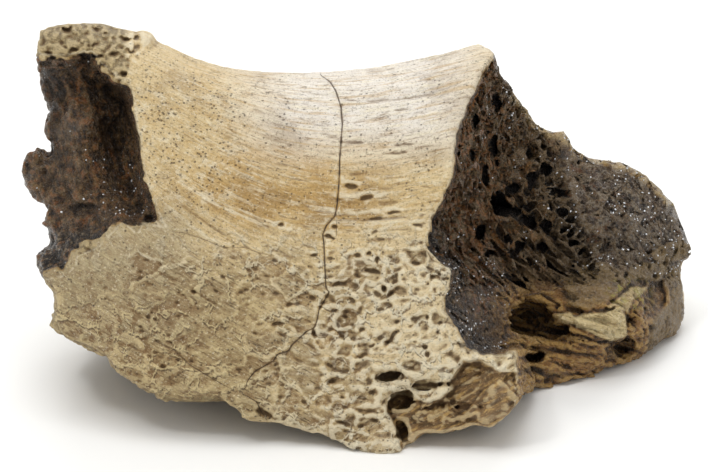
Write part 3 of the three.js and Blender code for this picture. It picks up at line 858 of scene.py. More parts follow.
    def rim_pits(self, x: Array, t: Array) -> Array:
        """Small open pits crowded along the broken upper rim on the left."""
        flat = self.columns(x, t, 0.9)
        frayed = flat + 0.6 * bends(54, flat, 0.9, layers=2)
        total = np.zeros_like(x)
        for seed, size, depth in ((51, (2.0, 1.1, 1), 0.6), (52, (1.0, 0.6, 1), 0.3)):
            near, _, tag = lattice(seed).cells(frayed, size, flat=True)
            total = np.maximum(total, depth * (ramp(near, 0.6, 0.1) * ramp(tag, -0.1, 0.8)))
        crumbs = lattice(53).layers(frayed, 1.0, 3)
        where = np.maximum(patch(x, t, (-50, -33.5, 27.2, 36), 1.2), self.surfaces[Surface.POROUS])
        return where * (1.4 * total + 0.5 * crumbs)


# ------------ The volume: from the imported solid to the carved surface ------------

@dataclass
class Volume:
    """Values on a regular block of places in the part's frame.

    Attributes:
        origin: Lowest corner of the block in mm.
        step: Distance between two places.
        values: The block, along x, y and z.
    """

    origin: Array
    step: float
    values: Array

    def places(self, index: Array) -> Array:
        """Places in mm of rows of whole-numbered corners."""
        return (self.origin + index * self.step).astype(np.float32)

    def read(self, points: Array) -> Array:
        """Values at any places, blended from the corners round them."""
        top = np.array(self.values.shape) - 1.001
        scaled = np.clip((points - self.origin) / self.step, 0, top)
        low = scaled.astype(np.int32)
        share = (scaled - low).astype(np.float32)
        total = np.zeros(len(points), dtype=np.float32)
        for a, b, c in itertools.product((0, 1), repeat=3):
            weight = share[:, 0] if a else 1 - share[:, 0]
            weight = weight * (share[:, 1] if b else 1 - share[:, 1])
            weight = weight * (share[:, 2] if c else 1 - share[:, 2])
            total += weight * self.values[low[:, 0] + a, low[:, 1] + b, low[:, 2] + c]
        return total

    def between(self, low: float, high: float) -> "Volume":
        """The stretch of the volume between two places along x."""
        first = max(int((low - self.origin[0]) / self.step), 0)
        last = int(math.ceil((high - self.origin[0]) / self.step)) + 1
        origin = self.origin + np.array([first * self.step, 0, 0])
        return Volume(origin, self.step, self.values[first:last])

    def finer(self, times: int) -> "Volume":
        """The same volume with its step divided by a whole number."""
        values = self.values
        for axis in range(3):
            count = (values.shape[axis] - 1) * times + 1
            place = np.arange(count) / times
            low = np.minimum(place.astype(int), values.shape[axis] - 2)
            share = (place - low).astype(np.float32)
            shape = [1, 1, 1]
            shape[axis] = count
            share = share.reshape(shape)
            values = np.take(values, low, axis) * (1 - share) + np.take(values, low + 1, axis) * share
        return Volume(self.origin, self.step / times, values)


def solid_distance(node: bpy.types.Object, step: float, band: float, margin: float) -> Volume:
    """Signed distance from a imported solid's surface, less than 0 inside it.

    Args:
        node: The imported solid's object.
        step: Distance between two places in mm.
        band: Distances are exact up to this many mm, and only roughly right past it.
        margin: Room round the solid's box in mm.

    Returns:
        The distance volume.
    """
    shell = bmesh.new()
    shell.from_mesh(node.data)
    bmesh.ops.transform(shell, matrix=Matrix.Scale(1 / MM, 4) @ node.matrix_world, verts=shell.verts)
    bmesh.ops.remove_doubles(shell, verts=shell.verts, dist=1e-3)
    tree = BVHTree.FromBMesh(shell)
    corners = np.array([vert.co[:] for vert in shell.verts])
    shell.free()
    origin = corners.min(axis=0) - margin
    counts = np.ceil((corners.max(axis=0) + margin - origin) / step).astype(int) + 1
    xs = origin[0] + step * np.arange(counts[0])
    sign = np.ones(counts, dtype=np.float32)
    forward = Vector((1, 0, 0))
    for j, k in itertools.product(range(counts[1]), range(counts[2])):
        y = origin[1] + j * step + 1.3e-4
        z = origin[2] + k * step + 2.1e-4
        start, crossings = origin[0] - 1, []
        while True:
            hit = tree.ray_cast(Vector((start, y, z)), forward)[0]
            if hit is None:
                break
            crossings.append(hit.x)
            start = hit.x + 1e-3
        if crossings:
            inside = np.searchsorted(crossings, xs) % 2 == 1
            sign[inside, j, k] = -1
    near = np.zeros(counts, dtype=bool)
    for axis in range(3):
        change = np.diff(sign, axis=axis) != 0
        first = [slice(None)] * 3
        first[axis] = slice(0, -1)
        later = [slice(None)] * 3
        later[axis] = slice(1, None)
        near[tuple(first)] |= change
        near[tuple(later)] |= change
    reach = near.copy()
    for _ in range(int(math.ceil(band / step))):
        grown = reach.copy()
        for axis in range(3):
            grown |= np.roll(reach, 1, axis) | np.roll(reach, -1, axis)
        reach = grown
    distance = sign * (band + step)
    index = np.argwhere(reach)
    spots = origin + index * step
    gaps = np.array([tree.find_nearest(Vector(spot), band * 2)[3] or band for spot in spots])
    distance[tuple(index.T)] = sign[tuple(index.T)] * gaps
    return Volume(origin, step, distance.astype(np.float32))


def put_in_scene(name: str, data: bpy.types.ID) -> bpy.types.Object:
    """A new object at the origin for some data."""
    thing = bpy.data.objects.new(name, data)
    bpy.context.scene.collection.objects.link(thing)
    return thing


def net_of(volume: Volume) -> tuple:
    """The closed surface where a volume's values cross 0.

    Args:
        volume: The volume, less than 0 inside.

    Returns:
        Points in mm, one row each, and four-cornered faces that point outwards.
    """
    values = volume.values
    inside = values < 0
    count = np.zeros(tuple(np.array(values.shape) - 1), dtype=np.uint8)
    spans = slice(0, -1), slice(1, None)
    for a, b, c in itertools.product((0, 1), repeat=3):
        count += inside[spans[a], spans[b], spans[c]]
    active = (count > 0) & (count < 8)
    index = np.argwhere(active)
    number = np.full(count.shape, -1, dtype=np.int32)
    number[active] = np.arange(len(index), dtype=np.int32)
    corner = {
        abc: values[index[:, 0] + abc[0], index[:, 1] + abc[1], index[:, 2] + abc[2]]
        for abc in itertools.product((0, 1), repeat=3)
    }
    total = np.zeros((len(index), 3), dtype=np.float32)
    hits = np.zeros(len(index), dtype=np.float32)
    for start, axis in itertools.product(corner, range(3)):
        if start[axis]:
            continue
        end = tuple(1 if i == axis else value for i, value in enumerate(start))
        low, high = corner[start], corner[end]
        crossing = (low < 0) != (high < 0)
        share = np.where(crossing, low / np.where(crossing, low - high, 1), 0)
        for i in range(3):
            total[:, i] += crossing * (share if i == axis else start[i])
        hits += crossing
    points = volume.places(index + total / hits[:, None])
    faces = []
    for axis in range(3):
        ring = [(axis + 1) % 3, (axis + 2) % 3]
        low = [slice(1, -1)] * 3
        high = [slice(1, -1)] * 3
        low[axis] = slice(0, -1)
        high[axis] = slice(1, None)
        change = inside[tuple(low)] != inside[tuple(high)]
        edge = np.argwhere(change)
        for i in ring:
            edge[:, i] += 1
        around = []
        for a, b in ((1, 1), (0, 1), (0, 0), (1, 0)):
            cell = edge.copy()
            cell[:, ring[0]] -= a
            cell[:, ring[1]] -= b
            around.append(number[tuple(cell.T)])
        quads = np.stack(around, axis=1)
        out = inside[tuple(edge.T)]
        quads[~out] = quads[~out][:, ::-1]
        faces.append(quads)
    return points, np.concatenate(faces)


def largest_part(points: Array, faces: Array) -> tuple:
    """Leaves out every part of a mesh that isn't joined to its largest one."""
    label = np.arange(len(points))
    while True:
        low = label[faces].min(axis=1)
        fresh = label.copy()
        for corner in range(faces.shape[1]):
            np.minimum.at(fresh, faces[:, corner], low)
        fresh = fresh[fresh]
        if np.array_equal(fresh, label):
            break
        label = fresh
    kept = label == np.bincount(label).argmax()
    moved = np.cumsum(kept) - 1
    return points[kept], moved[faces[kept[faces[:, 0]]]]


def only_where(mask: Array, work: Callable, *parts: Array) -> Array:
    """Works a function out only at the places of a mask.

    Args:
        mask: Which places count.
        work: Takes the parts at those places.
        parts: Arrays with a row for each place.

    Returns:
        The function's values, and 0 at the other places.
    """
    values = np.zeros(len(mask), dtype=np.float32)
    if mask.any():
        values[mask] = work(*(part[mask] for part in parts))
    return values


# ------------ The bone ------------

# Large open cells of the right break: x, t, half length, half height, depth, turn.
SPONGE_HOLES = (
    (22.4, 4.6, 1.7, 2, 5, 0.2), (19.5, 0.8, 1, 1, 3, 0), (24.4, 7.4, 0.8, 1.3, 3, -0.4),
    (18.6, 17.8, 0.6, 1.4, 3, 0.1), (21.8, 20.4, 0.8, 1.2, 3, 0), (21.4, 13.8, 0.6, 1.7, 3, 0.1),
    (26.7, 1.9, 1.4, 0.8, 3.5, -0.7), (29.3, 1.2, 1.2, 0.8, 3, -0.6), (24.9, 3.7, 0.8, 1, 3, -0.5),
    (25.3, -1.2, 1, 0.7, 3, -0.6), (29, -1.7, 1.1, 0.7, 3, -0.4), (23.7, -0.3, 0.6, 0.6, 2.5, 0),
    (24.9, -2.3, 0.7, 0.6, 2.5, 0), (20.9, -2.6, 0.7, 0.5, 2.5, 0), (29.6, 10, 0.9, 1.1, 3, 0),
    (25.3, -7.1, 2.2, 0.6, 2.5, -0.35), (35, -2.8, 0.7, 0.5, 1.5, -0.5), (36.1, 0.3, 0.5, 0.5, 1.4, 0),
    (41.2, 2.9, 0.5, 0.5, 1.2, 0), (27.2, 8.8, 0.7, 1.2, 3, -0.3), (20.2, 9.4, 0.6, 1.5, 3, 0.1),
    (17.9, 12.6, 0.5, 1.4, 2.5, 0.1), (32, 3.6, 0.6, 0.8, 2, -0.6), (31.4, 6.6, 0.6, 0.8, 2, -0.4),
)


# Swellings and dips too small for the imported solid: x, t, half length, half height, height outwards.
SWELLINGS = (
    (-50.5, 9.5, 3.2, 4.5, 0.5), (-43, 31, 6, 3, 0.3), (-31.8, 31, 1.6, 2.2, 0.8), (3.4, -33.5, 6, 2.5, 1),
    (45, -20.5, 5, 3, -0.5), (32.5, 15.2, 2, 2, 0.5), (-50, -1, 1.5, 2, 0.4), (49.5, -15, 2, 3, 0.3),
)


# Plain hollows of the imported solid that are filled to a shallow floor: x, t, radius, depth at the middle
# below the shaft's surface, and how much the floor rises to a mm along x.
FILLINGS = ((17.7, -22.9, 4.6, 1.5, 0.16), (11.3, -22.9, 3.2, 2.6, 0.0))


class Side(Enum):
    """The side of a seam that a piece lies on: before the line, or past it."""

    BEFORE = -1
    PAST = 1


class Seam(Enum):
    """A line over the face where two pieces meet: its sheet, and its stretch along x in mm."""

    LEFT = "left", -60.0, -28.0
    CRACK = "crack", -20.0, 0.0
    RIGHT = "right", 8.5, 27.0
    SLAB = "slab", 8.5, 60.0


@dataclass(frozen=True)
class Portion:
    """A stretch of the bone that is made as one closed mesh.

    Attributes:
        name: The piece's name.
        seams: The seams it meets its neighbours at, each with its own side of it.
        stretch: Where it lies along x, in mm, with some room past its seams.
        triangles: The most triangles in its mesh.
        finer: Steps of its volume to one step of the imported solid's distances.
        lap: How far it runs past its seams, under its neighbours.
        dip: How deep it lies under them at its end.
    """

    name: str
    seams: tuple
    stretch: tuple
    triangles: int
    finer: int = 4
    lap: float = 0.4
    dip: float = 0.35


@dataclass
class FossilBone:
    """The bone section: a shaft of weathered bone, broken at both ends.

    Attributes:
        coarse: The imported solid's distances are measured this many mm apart.
        band: They are exact up to this many mm from its surface.
        margin: Room round its box in mm.
        relief: Relief is worked out within this many mm of the surface, and deeper where cells are.
        portions: The pieces it is made in.
        cell_depth: Depth of the spongy bone's open cells.
        cell_wall: Thickness of the walls between them.
        block: Places that one thread works on at a time.
    """

    coarse: float = 0.8
    band: float = 3.4
    margin: float = 2.4
    relief: float = 1.3
    portions: tuple = (
        Portion("weathered_shaft", ((Seam.LEFT, Side.BEFORE), (Seam.CRACK, Side.BEFORE)), (-60, 0), 194_000),
        Portion("weathered_flare", ((Seam.CRACK, Side.PAST), (Seam.RIGHT, Side.BEFORE)), (-20, 27), 194_000),
        Portion("spongy_bone", ((Seam.RIGHT, Side.PAST), (Seam.SLAB, Side.BEFORE)), (8.5, 60), 194_000),
        Portion("broken_slabs", ((Seam.RIGHT, Side.PAST), (Seam.SLAB, Side.PAST)), (8.5, 60), 160_000),
        Portion("broken_end", ((Seam.LEFT, Side.PAST),), (-60, -28), 130_000),
    )
    cell_depth: float = 3.2
    cell_wall: float = 0.2
    block: int = 120_000
    axes: BoneAxes = field(default_factory=BoneAxes)
    shaft: ShaftForm = field(default_factory=ShaftForm)
    face: FaceRelief = field(default_factory=FaceRelief)

    def facing(self, distance: Volume, points: Array) -> Array:
        """How squarely the bone's surface faces forward: 1 on its face, 0 on its sides, -1 behind."""
        reach = self.axes.inward() * self.coarse
        return (distance.read(points - reach) - distance.read(points + reach)) / (2 * self.coarse)

    def cell_set(self, places: Array, seed: int, size: tuple, wall: float) -> tuple:
        """One set of open cells.

        Args:
            places: Places in the cells' own directions.
            seed: Which cells.
            size: Their size in mm in each direction.
            wall: Thickness of the walls between them.

        Returns:
            How far inside a cell each place lies, and the cell's own number from -1 to 1.
        """
        _, border, tag = lattice(seed).cells(places, size)
        return border * min(size[:2]) * 1.5 - wall / 2, tag

    def sponge(self, bone: Array, base: Array, inward: Array) -> Array:
        """Carves the open cells of the right break.

        Args:
            bone: Bone x, t and d, one row each.
            base: Signed distance from the uncarved surface.
            inward: Distance inside the break's edge line.

        Returns:
            The carved signed distance.
        """
        x, t, d = bone.T
        warp = bends(61, bone, 2.2, layers=2)
        bow = 0.025 * np.maximum(15 - t, 0) ** 2
        upright = np.stack([x - bow, t + 0.3 * x, d], axis=1) + 0.6 * warp
        slanted = np.stack([0.8 * x + 0.6 * t, 0.8 * t - 0.6 * x, d], axis=1) + 0.6 * warp
        low = ramp(t, -5.0, -8.5)
        beside_ridge = ramp(x - bow + 0.25 * t, 25.5, 23.0)
        granular = ramp(x + 0.4 * t, 33.5, 36.5)
        strip = ramp(inward, 2.8, 1.0) * ramp(t, 9, 3)
        edge = ramp(inward, 0.3, 1.0)
        tall = beside_ridge * (1 - low) * (1 - 0.8 * strip)
        sloping = (1 - beside_ridge) * (1 - granular) * (1 - low)
        small = 0.2 * (1 - 0.5 * low) * (1 - 0.4 * granular) + 0.2 * strip
        sets = (
            (upright, 64, (1.5, 3.1, 2.8), self.cell_wall, tall, 0.85),
            (slanted, 66, (2.5, 1.7, 2.6), self.cell_wall, sloping, 0.85),
            (upright, 65, (0.85, 1.05, 1.0), 0.24, small, 0.0),
            (slanted, 67, (1.7, 1.1, 1.5), 0.34, 0.34 * granular * (1 - low), 0.0),
        )
        carved = base
        for places, seed, size, wall, share, least in sets:
            inside, tag = self.cell_set(places, seed, size, wall)
            depth = self.cell_depth * share * edge * (least + (1 - least) * tag)
            carved = np.maximum(carved, np.minimum(inside, base + depth))
        fray = bends(68, bone, 0.9, axes=2)
        px = x + 0.9 * warp[:, 0] + 0.25 * fray[:, 0]
        pt = t + 0.9 * warp[:, 1] + 0.25 * fray[:, 1]
        for *oval, deep, turn in SPONGE_HOLES:
            pocket = (1 - from_oval(px, pt, (*oval, turn))) * min(oval[2:])
            carved = np.maximum(carved, np.minimum(pocket, base + deep * ramp(inward, -0.3, 0.6)))
        return carved

    def rough_break(self, bone: Array) -> Array:
        """Heights of grains, ledges and splinters on broken bone, all over."""
        x, t, d = bone.T
        grain = lattice(71).layers(bone, 0.9, 2)
        lumps = lattice(72).layers(bone, 3.2, 3)
        crests = 0.5 - np.abs(lattice(76).layers(bone, (3.4, 4.2, 3.4), 3)) * 2
        splinter = np.stack([x, t + 0.22 * x, d], axis=1)
        ledge = lattice(73).noise(splinter, (6.5, 0.8, 1.2))
        ledge = ledge + 0.7 * lattice(74).noise(splinter, (3.5, 0.45, 0.8))
        granular = ramp(x, 30, 36) * ramp(t, -8, -4)
        fibrous = patch(x, t, (24, 45, -24, -7), 3)
        streak = np.stack([x + 0.34 * t, t, d], axis=1)
        upright = lattice(75).noise(streak, (0.8, 5.5, 1.2))
        left = ramp(x, -26, -32)
        plain = 1 - fibrous
        crags = (0.5 - np.abs(lattice(77).layers(splinter, (4.5, 2.2, 3.0), 3)) * 2) * fibrous
        chips = lattice(78).layers(bone, (2.6, 2.0, 2.6), 3) * left
        steps = self.face.sheet.read(self.face.steps, bone)
        steps += 0.35 * self.face.sheet.read(self.face.surfaces[Surface.PALE], bone) * ledge
        return ((0.2 + 0.14 * granular) * grain * (1 - 0.5 * fibrous) + 0.3 * lumps + 0.75 * chips
                + 0.4 * fibrous * ledge + 0.45 * crags + steps
                + (0.1 + 0.14 * left) * upright * plain + 0.3 * crests * plain * (0.4 + 0.6 * left))

    def filled(self, distance: Volume) -> Volume:
        """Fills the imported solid's plain hollows to shallow floors, which the relief then breaks up."""
        index = np.argwhere(np.isfinite(distance.values))
        bone = self.axes.from_row(distance.places(index))
        below = self.shaft.below(bone)
        solid = distance.values.ravel()
        for cx, ct, radius, depth, rise in FILLINGS:
            far = np.hypot(bone[:, 0] - cx, bone[:, 1] - ct)
            floor = depth - rise * (bone[:, 0] - cx) - below
            plug = np.maximum(np.maximum(floor, (far - radius) * 0.7), below - 9)
            solid = np.minimum(solid, plug)
        return Volume(distance.origin, distance.step, solid.reshape(distance.values.shape))

    def front_skin(self, bone: Array) -> Array:
        """Heights on the weathered face."""
        return self.face.sheet.read(self.face.heights, bone)

    def back_skin(self, bone: Array) -> Array:
        """Heights on the skin behind and below: plain fibres, worn patches and pits."""
        lines = flow(bone)
        ribs = lattice(81).noise(lines, (10, 1.1, 9)) + 0.6 * lattice(82).noise(lines, (5, 0.55, 9))
        pits_near, _, tag = lattice(83).cells(lines, (2.6, 1.3, 2.6))
        pits = ramp(pits_near, 0.42, 0.15) * ramp(tag, 0.0, 0.4)
        crest = 1 - 2.4 * np.abs(lattice(84).layers(bone, (4.2, 2.4, 3), 3))
        worn = ramp(lattice(85).layers(bone, 14.0, 2), -0.1, 0.25)
        return (0.13 - 0.06 * worn) * ribs - (0.3 + 0.3 * worn) * pits + (0.1 + 0.2 * worn) * crest

    def swelling(self, bone: Array) -> Array:
        """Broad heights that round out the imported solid's outline."""
        total = 0.24 * lattice(91).layers(bone, 8.0, 2)
        for cx, ct, half_x, half_t, height in SWELLINGS:
            far = np.hypot((bone[:, 0] - cx) / half_x, (bone[:, 1] - ct) / half_t)
            total += height * ramp(far, 1.2, 0.3)
        return total

    def surface(self, distance: Volume, volume: Volume, portion: Portion, rows: Array) -> Array:
        """Carved signed distances at some places.

        Args:
            distance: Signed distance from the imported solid.
            volume: The same at the portion's finer step.
            portion: The piece that is being made.
            rows: The places' whole-numbered corners in the finer volume.

        Returns:
            The distances after carving.
        """
        sheet = self.face.sheet
        points = volume.places(rows)
        bone = self.axes.from_row(points)
        base = volume.values[tuple(rows.T)]
        below = self.shaft.below(bone) + base
        facing = self.facing(distance, points)
        inward = sheet.read(self.face.right, bone)
        left = sheet.read(self.face.left, bone)
        chipped = sheet.read(self.face.lobe, bone) * ramp(facing, 0.0, 0.3)
        skin = ramp(below, 2.0, 0.7) * ramp(np.maximum(inward, left), 0.5, -0.1)
        skin = np.maximum(skin, ramp(below, 1.6, 0.5) * (facing < 0))
        skin = np.maximum(skin, chipped * ramp(inward, 0.5, -0.1))
        front = np.maximum(ramp(facing, 0.12, 0.5), chipped)
        height = self.swelling(bone)
        height += skin * front * only_where(skin * front > 0, self.front_skin, bone)
        height += skin * (1 - front) * only_where(skin * (1 - front) > 0, self.back_skin, bone)
        height += (1 - skin) * only_where(skin < 1, self.rough_break, bone)
        carved = base - height + sheet.read(self.face.holes, bone) * ramp(facing, 0.05, 0.35)
        if (Seam.RIGHT, Side.PAST) in portion.seams:
            spongy = (inward > 0) & (skin < 0.5)
            carved[spongy] = self.sponge(bone[spongy], carved[spongy], inward[spongy])
        return carved

    def carve(self, distance: Volume, portion: Portion) -> tuple:
        """Carves the bone's relief into a stretch of the solid's distance volume.

        Args:
            distance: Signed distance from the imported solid.
            portion: The piece that is being made.

        Returns:
            The carved volume, and the same cut off at the piece's seams.
        """
        volume = distance.between(*portion.stretch).finer(portion.finer)
        sheet = self.face.sheet
        shallow = np.argwhere(np.abs(volume.values) < self.relief).astype(np.int32)
        deep = (volume.values > -self.cell_depth - 2) & (volume.values <= -self.relief)
        deep = np.argwhere(deep).astype(np.int32)
        bone = self.axes.from_row(volume.places(deep))
        kept = sheet.read(self.face.holes, bone) > 0.3
        if (Seam.RIGHT, Side.PAST) in portion.seams:
            kept |= sheet.read(self.face.right, bone) > -0.5
            side = dict(portion.seams)[Seam.SLAB].value
            kept &= side * sheet.read(self.face.slab, bone) > -1.0
        if (Seam.LEFT, Side.PAST) in portion.seams:
            kept |= sheet.read(self.face.steps, bone) < -0.4
        rows = np.concatenate([shallow, deep[kept]])
        blocks = np.array_split(rows, len(rows) // self.block + 1)
        with ThreadPoolExecutor() as pool:
            carved = list(pool.map(lambda block: self.surface(distance, volume, portion, block), blocks))
            values = volume.values.copy()
            values[tuple(rows.T)] = np.concatenate(carved)
            whole = Volume(volume.origin, volume.step, values.copy())
            for seam, side in portion.seams:
                line, *ends = seam.value
                low, high = (max(int((end - volume.origin[0]) / volume.step), 0) for end in ends)
                near = np.argwhere(values[low:high] < 0.6).astype(np.int32) + np.array([low, 0, 0], np.int32)
                blocks = np.array_split(near, len(near) // self.block + 1)
                cut = getattr(self.face, line)
                inward = np.concatenate(list(pool.map(
                    lambda block: sheet.read(cut, self.axes.from_row(volume.places(block))), blocks)))
                at = tuple(near.T)
                past = -side.value * inward
                sunk = values[at] + portion.dip * ramp(past, 0.05, portion.lap)
                values[at] = np.maximum(sunk, past - portion.lap)
        log.info("%s carved at %d places", portion.name, len(rows))
        return whole, Volume(volume.origin, volume.step, values)

    def cover(self, carved: Volume) -> Volume:
        """How much bone lies close round each place: half on flat bone, less on ridges, more in hollows; the
        finish paints shade in the hollows by it.
        """
        even = [size // 2 * 2 for size in carved.values.shape]
        solid = np.clip(0.5 - carved.values[:even[0], :even[1], :even[2]] / (2 * carved.step), 0, 1)
        halved = solid.reshape(even[0] // 2, 2, even[1] // 2, 2, even[2] // 2, 2).mean(axis=(1, 3, 5))
        return Volume(carved.origin + carved.step / 2, carved.step * 2, soften(halved, 2))

    def mesh(self, name: str, points: Array, faces: Array, triangles: int) -> bpy.types.Object:
        """A Blender object from points in mm and faces, thinned to a count of triangles."""
        data = bpy.data.meshes.new("bone")
        data.vertices.add(len(points))
        data.vertices.foreach_set("co", (points * MM).astype(np.float32).ravel())
        data.loops.add(faces.size)
        data.loops.foreach_set("vertex_index", faces.astype(np.int32).ravel())
        data.polygons.add(len(faces))
        data.polygons.foreach_set("loop_start", np.arange(0, faces.size, 4, dtype=np.int32))
        data.update(calc_edges=True)
        rough = put_in_scene("bone", data)
        thin = rough.modifiers.new("thin", "DECIMATE")
        thin.ratio = min(triangles / (2 * len(faces)), 1.0)
        thin.use_collapse_triangulate = True
        finished = bpy.data.meshes.new_from_object(rough.evaluated_get(bpy.context.evaluated_depsgraph_get()))
        bpy.data.objects.remove(rough)
        bpy.data.meshes.remove(data)
        finished.polygons.foreach_set("use_smooth", [True] * len(finished.polygons))
        return put_in_scene(name, finished)

    def mark(self, bone: bpy.types.Object, distance: Volume, cover: Volume) -> None:
        """Writes what the finish needs to know about each point of the mesh as attributes."""
        data = bone.data
        flat = np.empty(len(data.vertices) * 3, dtype=np.float32)
        data.vertices.foreach_get("co", flat)
        points = flat.reshape(-1, 3) / MM
        places = self.axes.from_row(points)
        face = self.face
        facing = self.facing(distance, points)
        front = ramp(facing, -0.3, 0.2)

        def read(values: Array) -> Array:
            """A sheet's values at the points."""
            return face.sheet.read(values, places)

        share = {kind: read(values) * front for kind, values in face.surfaces.items()}
        pitted = np.maximum(self.pitted_rim(places) * front, share[Surface.POROUS])
        depth = -distance.read(points)
        vectors = {
            "face": places,
            "grain": flow(places),
            "depths": (self.shaft.below(places), read(face.right), read(face.left)),
            # Depth and cover drive the finish's painted shade in deep places and hollows.
            "state": (depth, cover.read(points) - 0.5, facing),
            "zones": (self.fibrous(places), read(face.recess), read(face.tone)),
            # The last part is the share of the darkest facets, which the finish gives painted shade.
            "lower": (read(face.lobe) * front, share[Surface.PALE], share[Surface.DARK]),
            "rims": (gap_to_line(places[:, 0], places[:, 1], RIM_LINE), pitted, share[Surface.GREY]),
            "crack_a": [read(part) for part in face.cracks[:3]],
            "crack_b": [read(part) for part in face.cracks[3:]],
        }
        glint = data.attributes.new("glint", "FLOAT", "POINT")
        glint.data.foreach_set("value", self.glinting(places, depth, facing).astype(np.float32))
        for name, values in vectors.items():
            rows = values if isinstance(values, Array) else np.stack(values, axis=1)
            layer = data.attributes.new(name, "FLOAT_VECTOR", "POINT")
            layer.data.foreach_set("vector", rows.astype(np.float32).ravel())

    def fibrous(self, bone: Array) -> Array:
        """Where the skin's fibres show strongly."""
        x, t, _ = bone.T
        return ramp(t, -6, 3) * (0.4 + 0.6 * ramp(x, -32, -18)) + 0.4 * patch(x, t, (-12, 16, -34, -4), 4)

    def glinting(self, bone: Array, sunk: Array, facing: Array) -> Array:
        """Where quartz grains grow: most on the granular end, the strip and the left groove."""
        x, t, _ = bone.T
        sheet = self.face.sheet
        right = ramp(sheet.read(self.face.right, bone), 0.4, 1.2)
        left = ramp(sheet.read(self.face.left, bone), 0.4, 1.2)
        granular = ramp(x, 27, 33) * ramp(t, -8, -4)
        strip = patch(x, t, (13, 24, -19, -4), 1.5) + patch(x, t, (11, 15.5, -7.5, -3), 0.8)
        ridge = 0.25 * patch(x, t, (13, 30, -4, 22), 2)
        groove = patch(x, t, (-36, -30, 3, 10), 1.2) + 0.6 * patch(x, t, (-41, -38, 4, 18), 1.2)
        clumps = ramp(lattice(105).layers(bone, 3.0, 2), -0.25, 0.35)
        share = right * (granular + strip + ridge) + left * (groove + 0.12)
        return share * clumps * ramp(sunk, 1.4, 0.5) * ramp(facing, -0.1, 0.25)

    def pitted_rim(self, bone: Array) -> Array:
        """The open porous rim at the top left, and the patch that runs down from it."""
        x, t, _ = bone.T
        ragged = 0.8 * lattice(103).layers(bone, 2.4, 2)
        return patch(x, t + ragged, (-50, -35.5, 26.8, 36), 1.0)

    def build(self) -> list:
        """Makes the finished meshes, with their attributes."""
        start = time.time()
        distance = solid_distance(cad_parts[NODE], self.coarse, self.band, self.margin)
        distance = self.filled(distance)
        distance.values = (distance.values + soften(distance.values, 1)) / 2
        log.info("distances %s in %.1f s", distance.values.shape, time.time() - start)
        pieces = []
        for portion in self.portions:
            whole, carved = self.carve(distance, portion)
            log.info("%s: volume %s at %.1f s", portion.name, carved.values.shape, time.time() - start)
            points, faces = largest_part(*net_of(carved))
            points[:, 2] = np.maximum(points[:, 2], 0)
            log.info("%s: net of %d faces at %.1f s", portion.name, len(faces), time.time() - start)
            piece = self.mesh(portion.name, points, faces, portion.triangles)
            self.mark(piece, distance, self.cover(whole))
            count = len(piece.data.polygons)
            log.info("%s: %d triangles at %.1f s", portion.name, count, time.time() - start)
            pieces.append(piece)
        return pieces


# ------------ Finishes ------------

def linear(code: str) -> tuple:
    """Linear red, green, blue and alpha of an sRGB hex colour."""
    parts = [int(code[i:i + 2], 16) / 255 for i in (1, 3, 5)]
    return (*(c / 12.92 if c <= 0.04045 else ((c + 0.055) / 1.055) ** 2.4 for c in parts), 1.0)


def bare_material(name: str) -> bpy.types.Material:
    """A material with an empty node tree."""
    material = bpy.data.materials.new(name)
    material.use_nodes = True
    material.node_tree.nodes.clear()
    return material


def add(tree: bpy.types.NodeTree, kind: str, settings: dict | None = None, **links: object) -> bpy.types.Node:
    """Adds a node with its settings, values and links.

    Args:
        tree: The node tree.
        kind: The node's type name.
        settings: Properties to set on the node.
        links: Input name or number (as _0, _1) to a value, or to the output socket that feeds it.

    Returns:
        The new node.
    """
    node = tree.nodes.new(kind)
    for name, value in (settings or {}).items():
        setattr(node, name, value)
    for name, value in links.items():
        key = int(name[1:]) if name[0] == "_" else name.replace("_", " ")
        socket = node.inputs[key]
        if isinstance(value, Socket):
            tree.links.new(value, socket)
        else:
            socket.default_value = value
    return node


# The mesh's vector attributes and what their parts are called.
CHANNELS = {
    "face": ("x", "t", "d"),
    "grain": ("along", "around", "deep"),
    "depths": ("below", "right", "left"),
    "state": ("sunk", "hollow", "facing"),
    "zones": ("fibrous", "recess", "tone"),
    "lower": ("lobe", "splinter", "cave"),
    "rims": ("rim_gap", "pitted", "plate"),
    "crack_a": ("crack_0", "crack_1", "crack_2"),
    "crack_b": ("crack_3", "crack_4", "crack_5"),
}


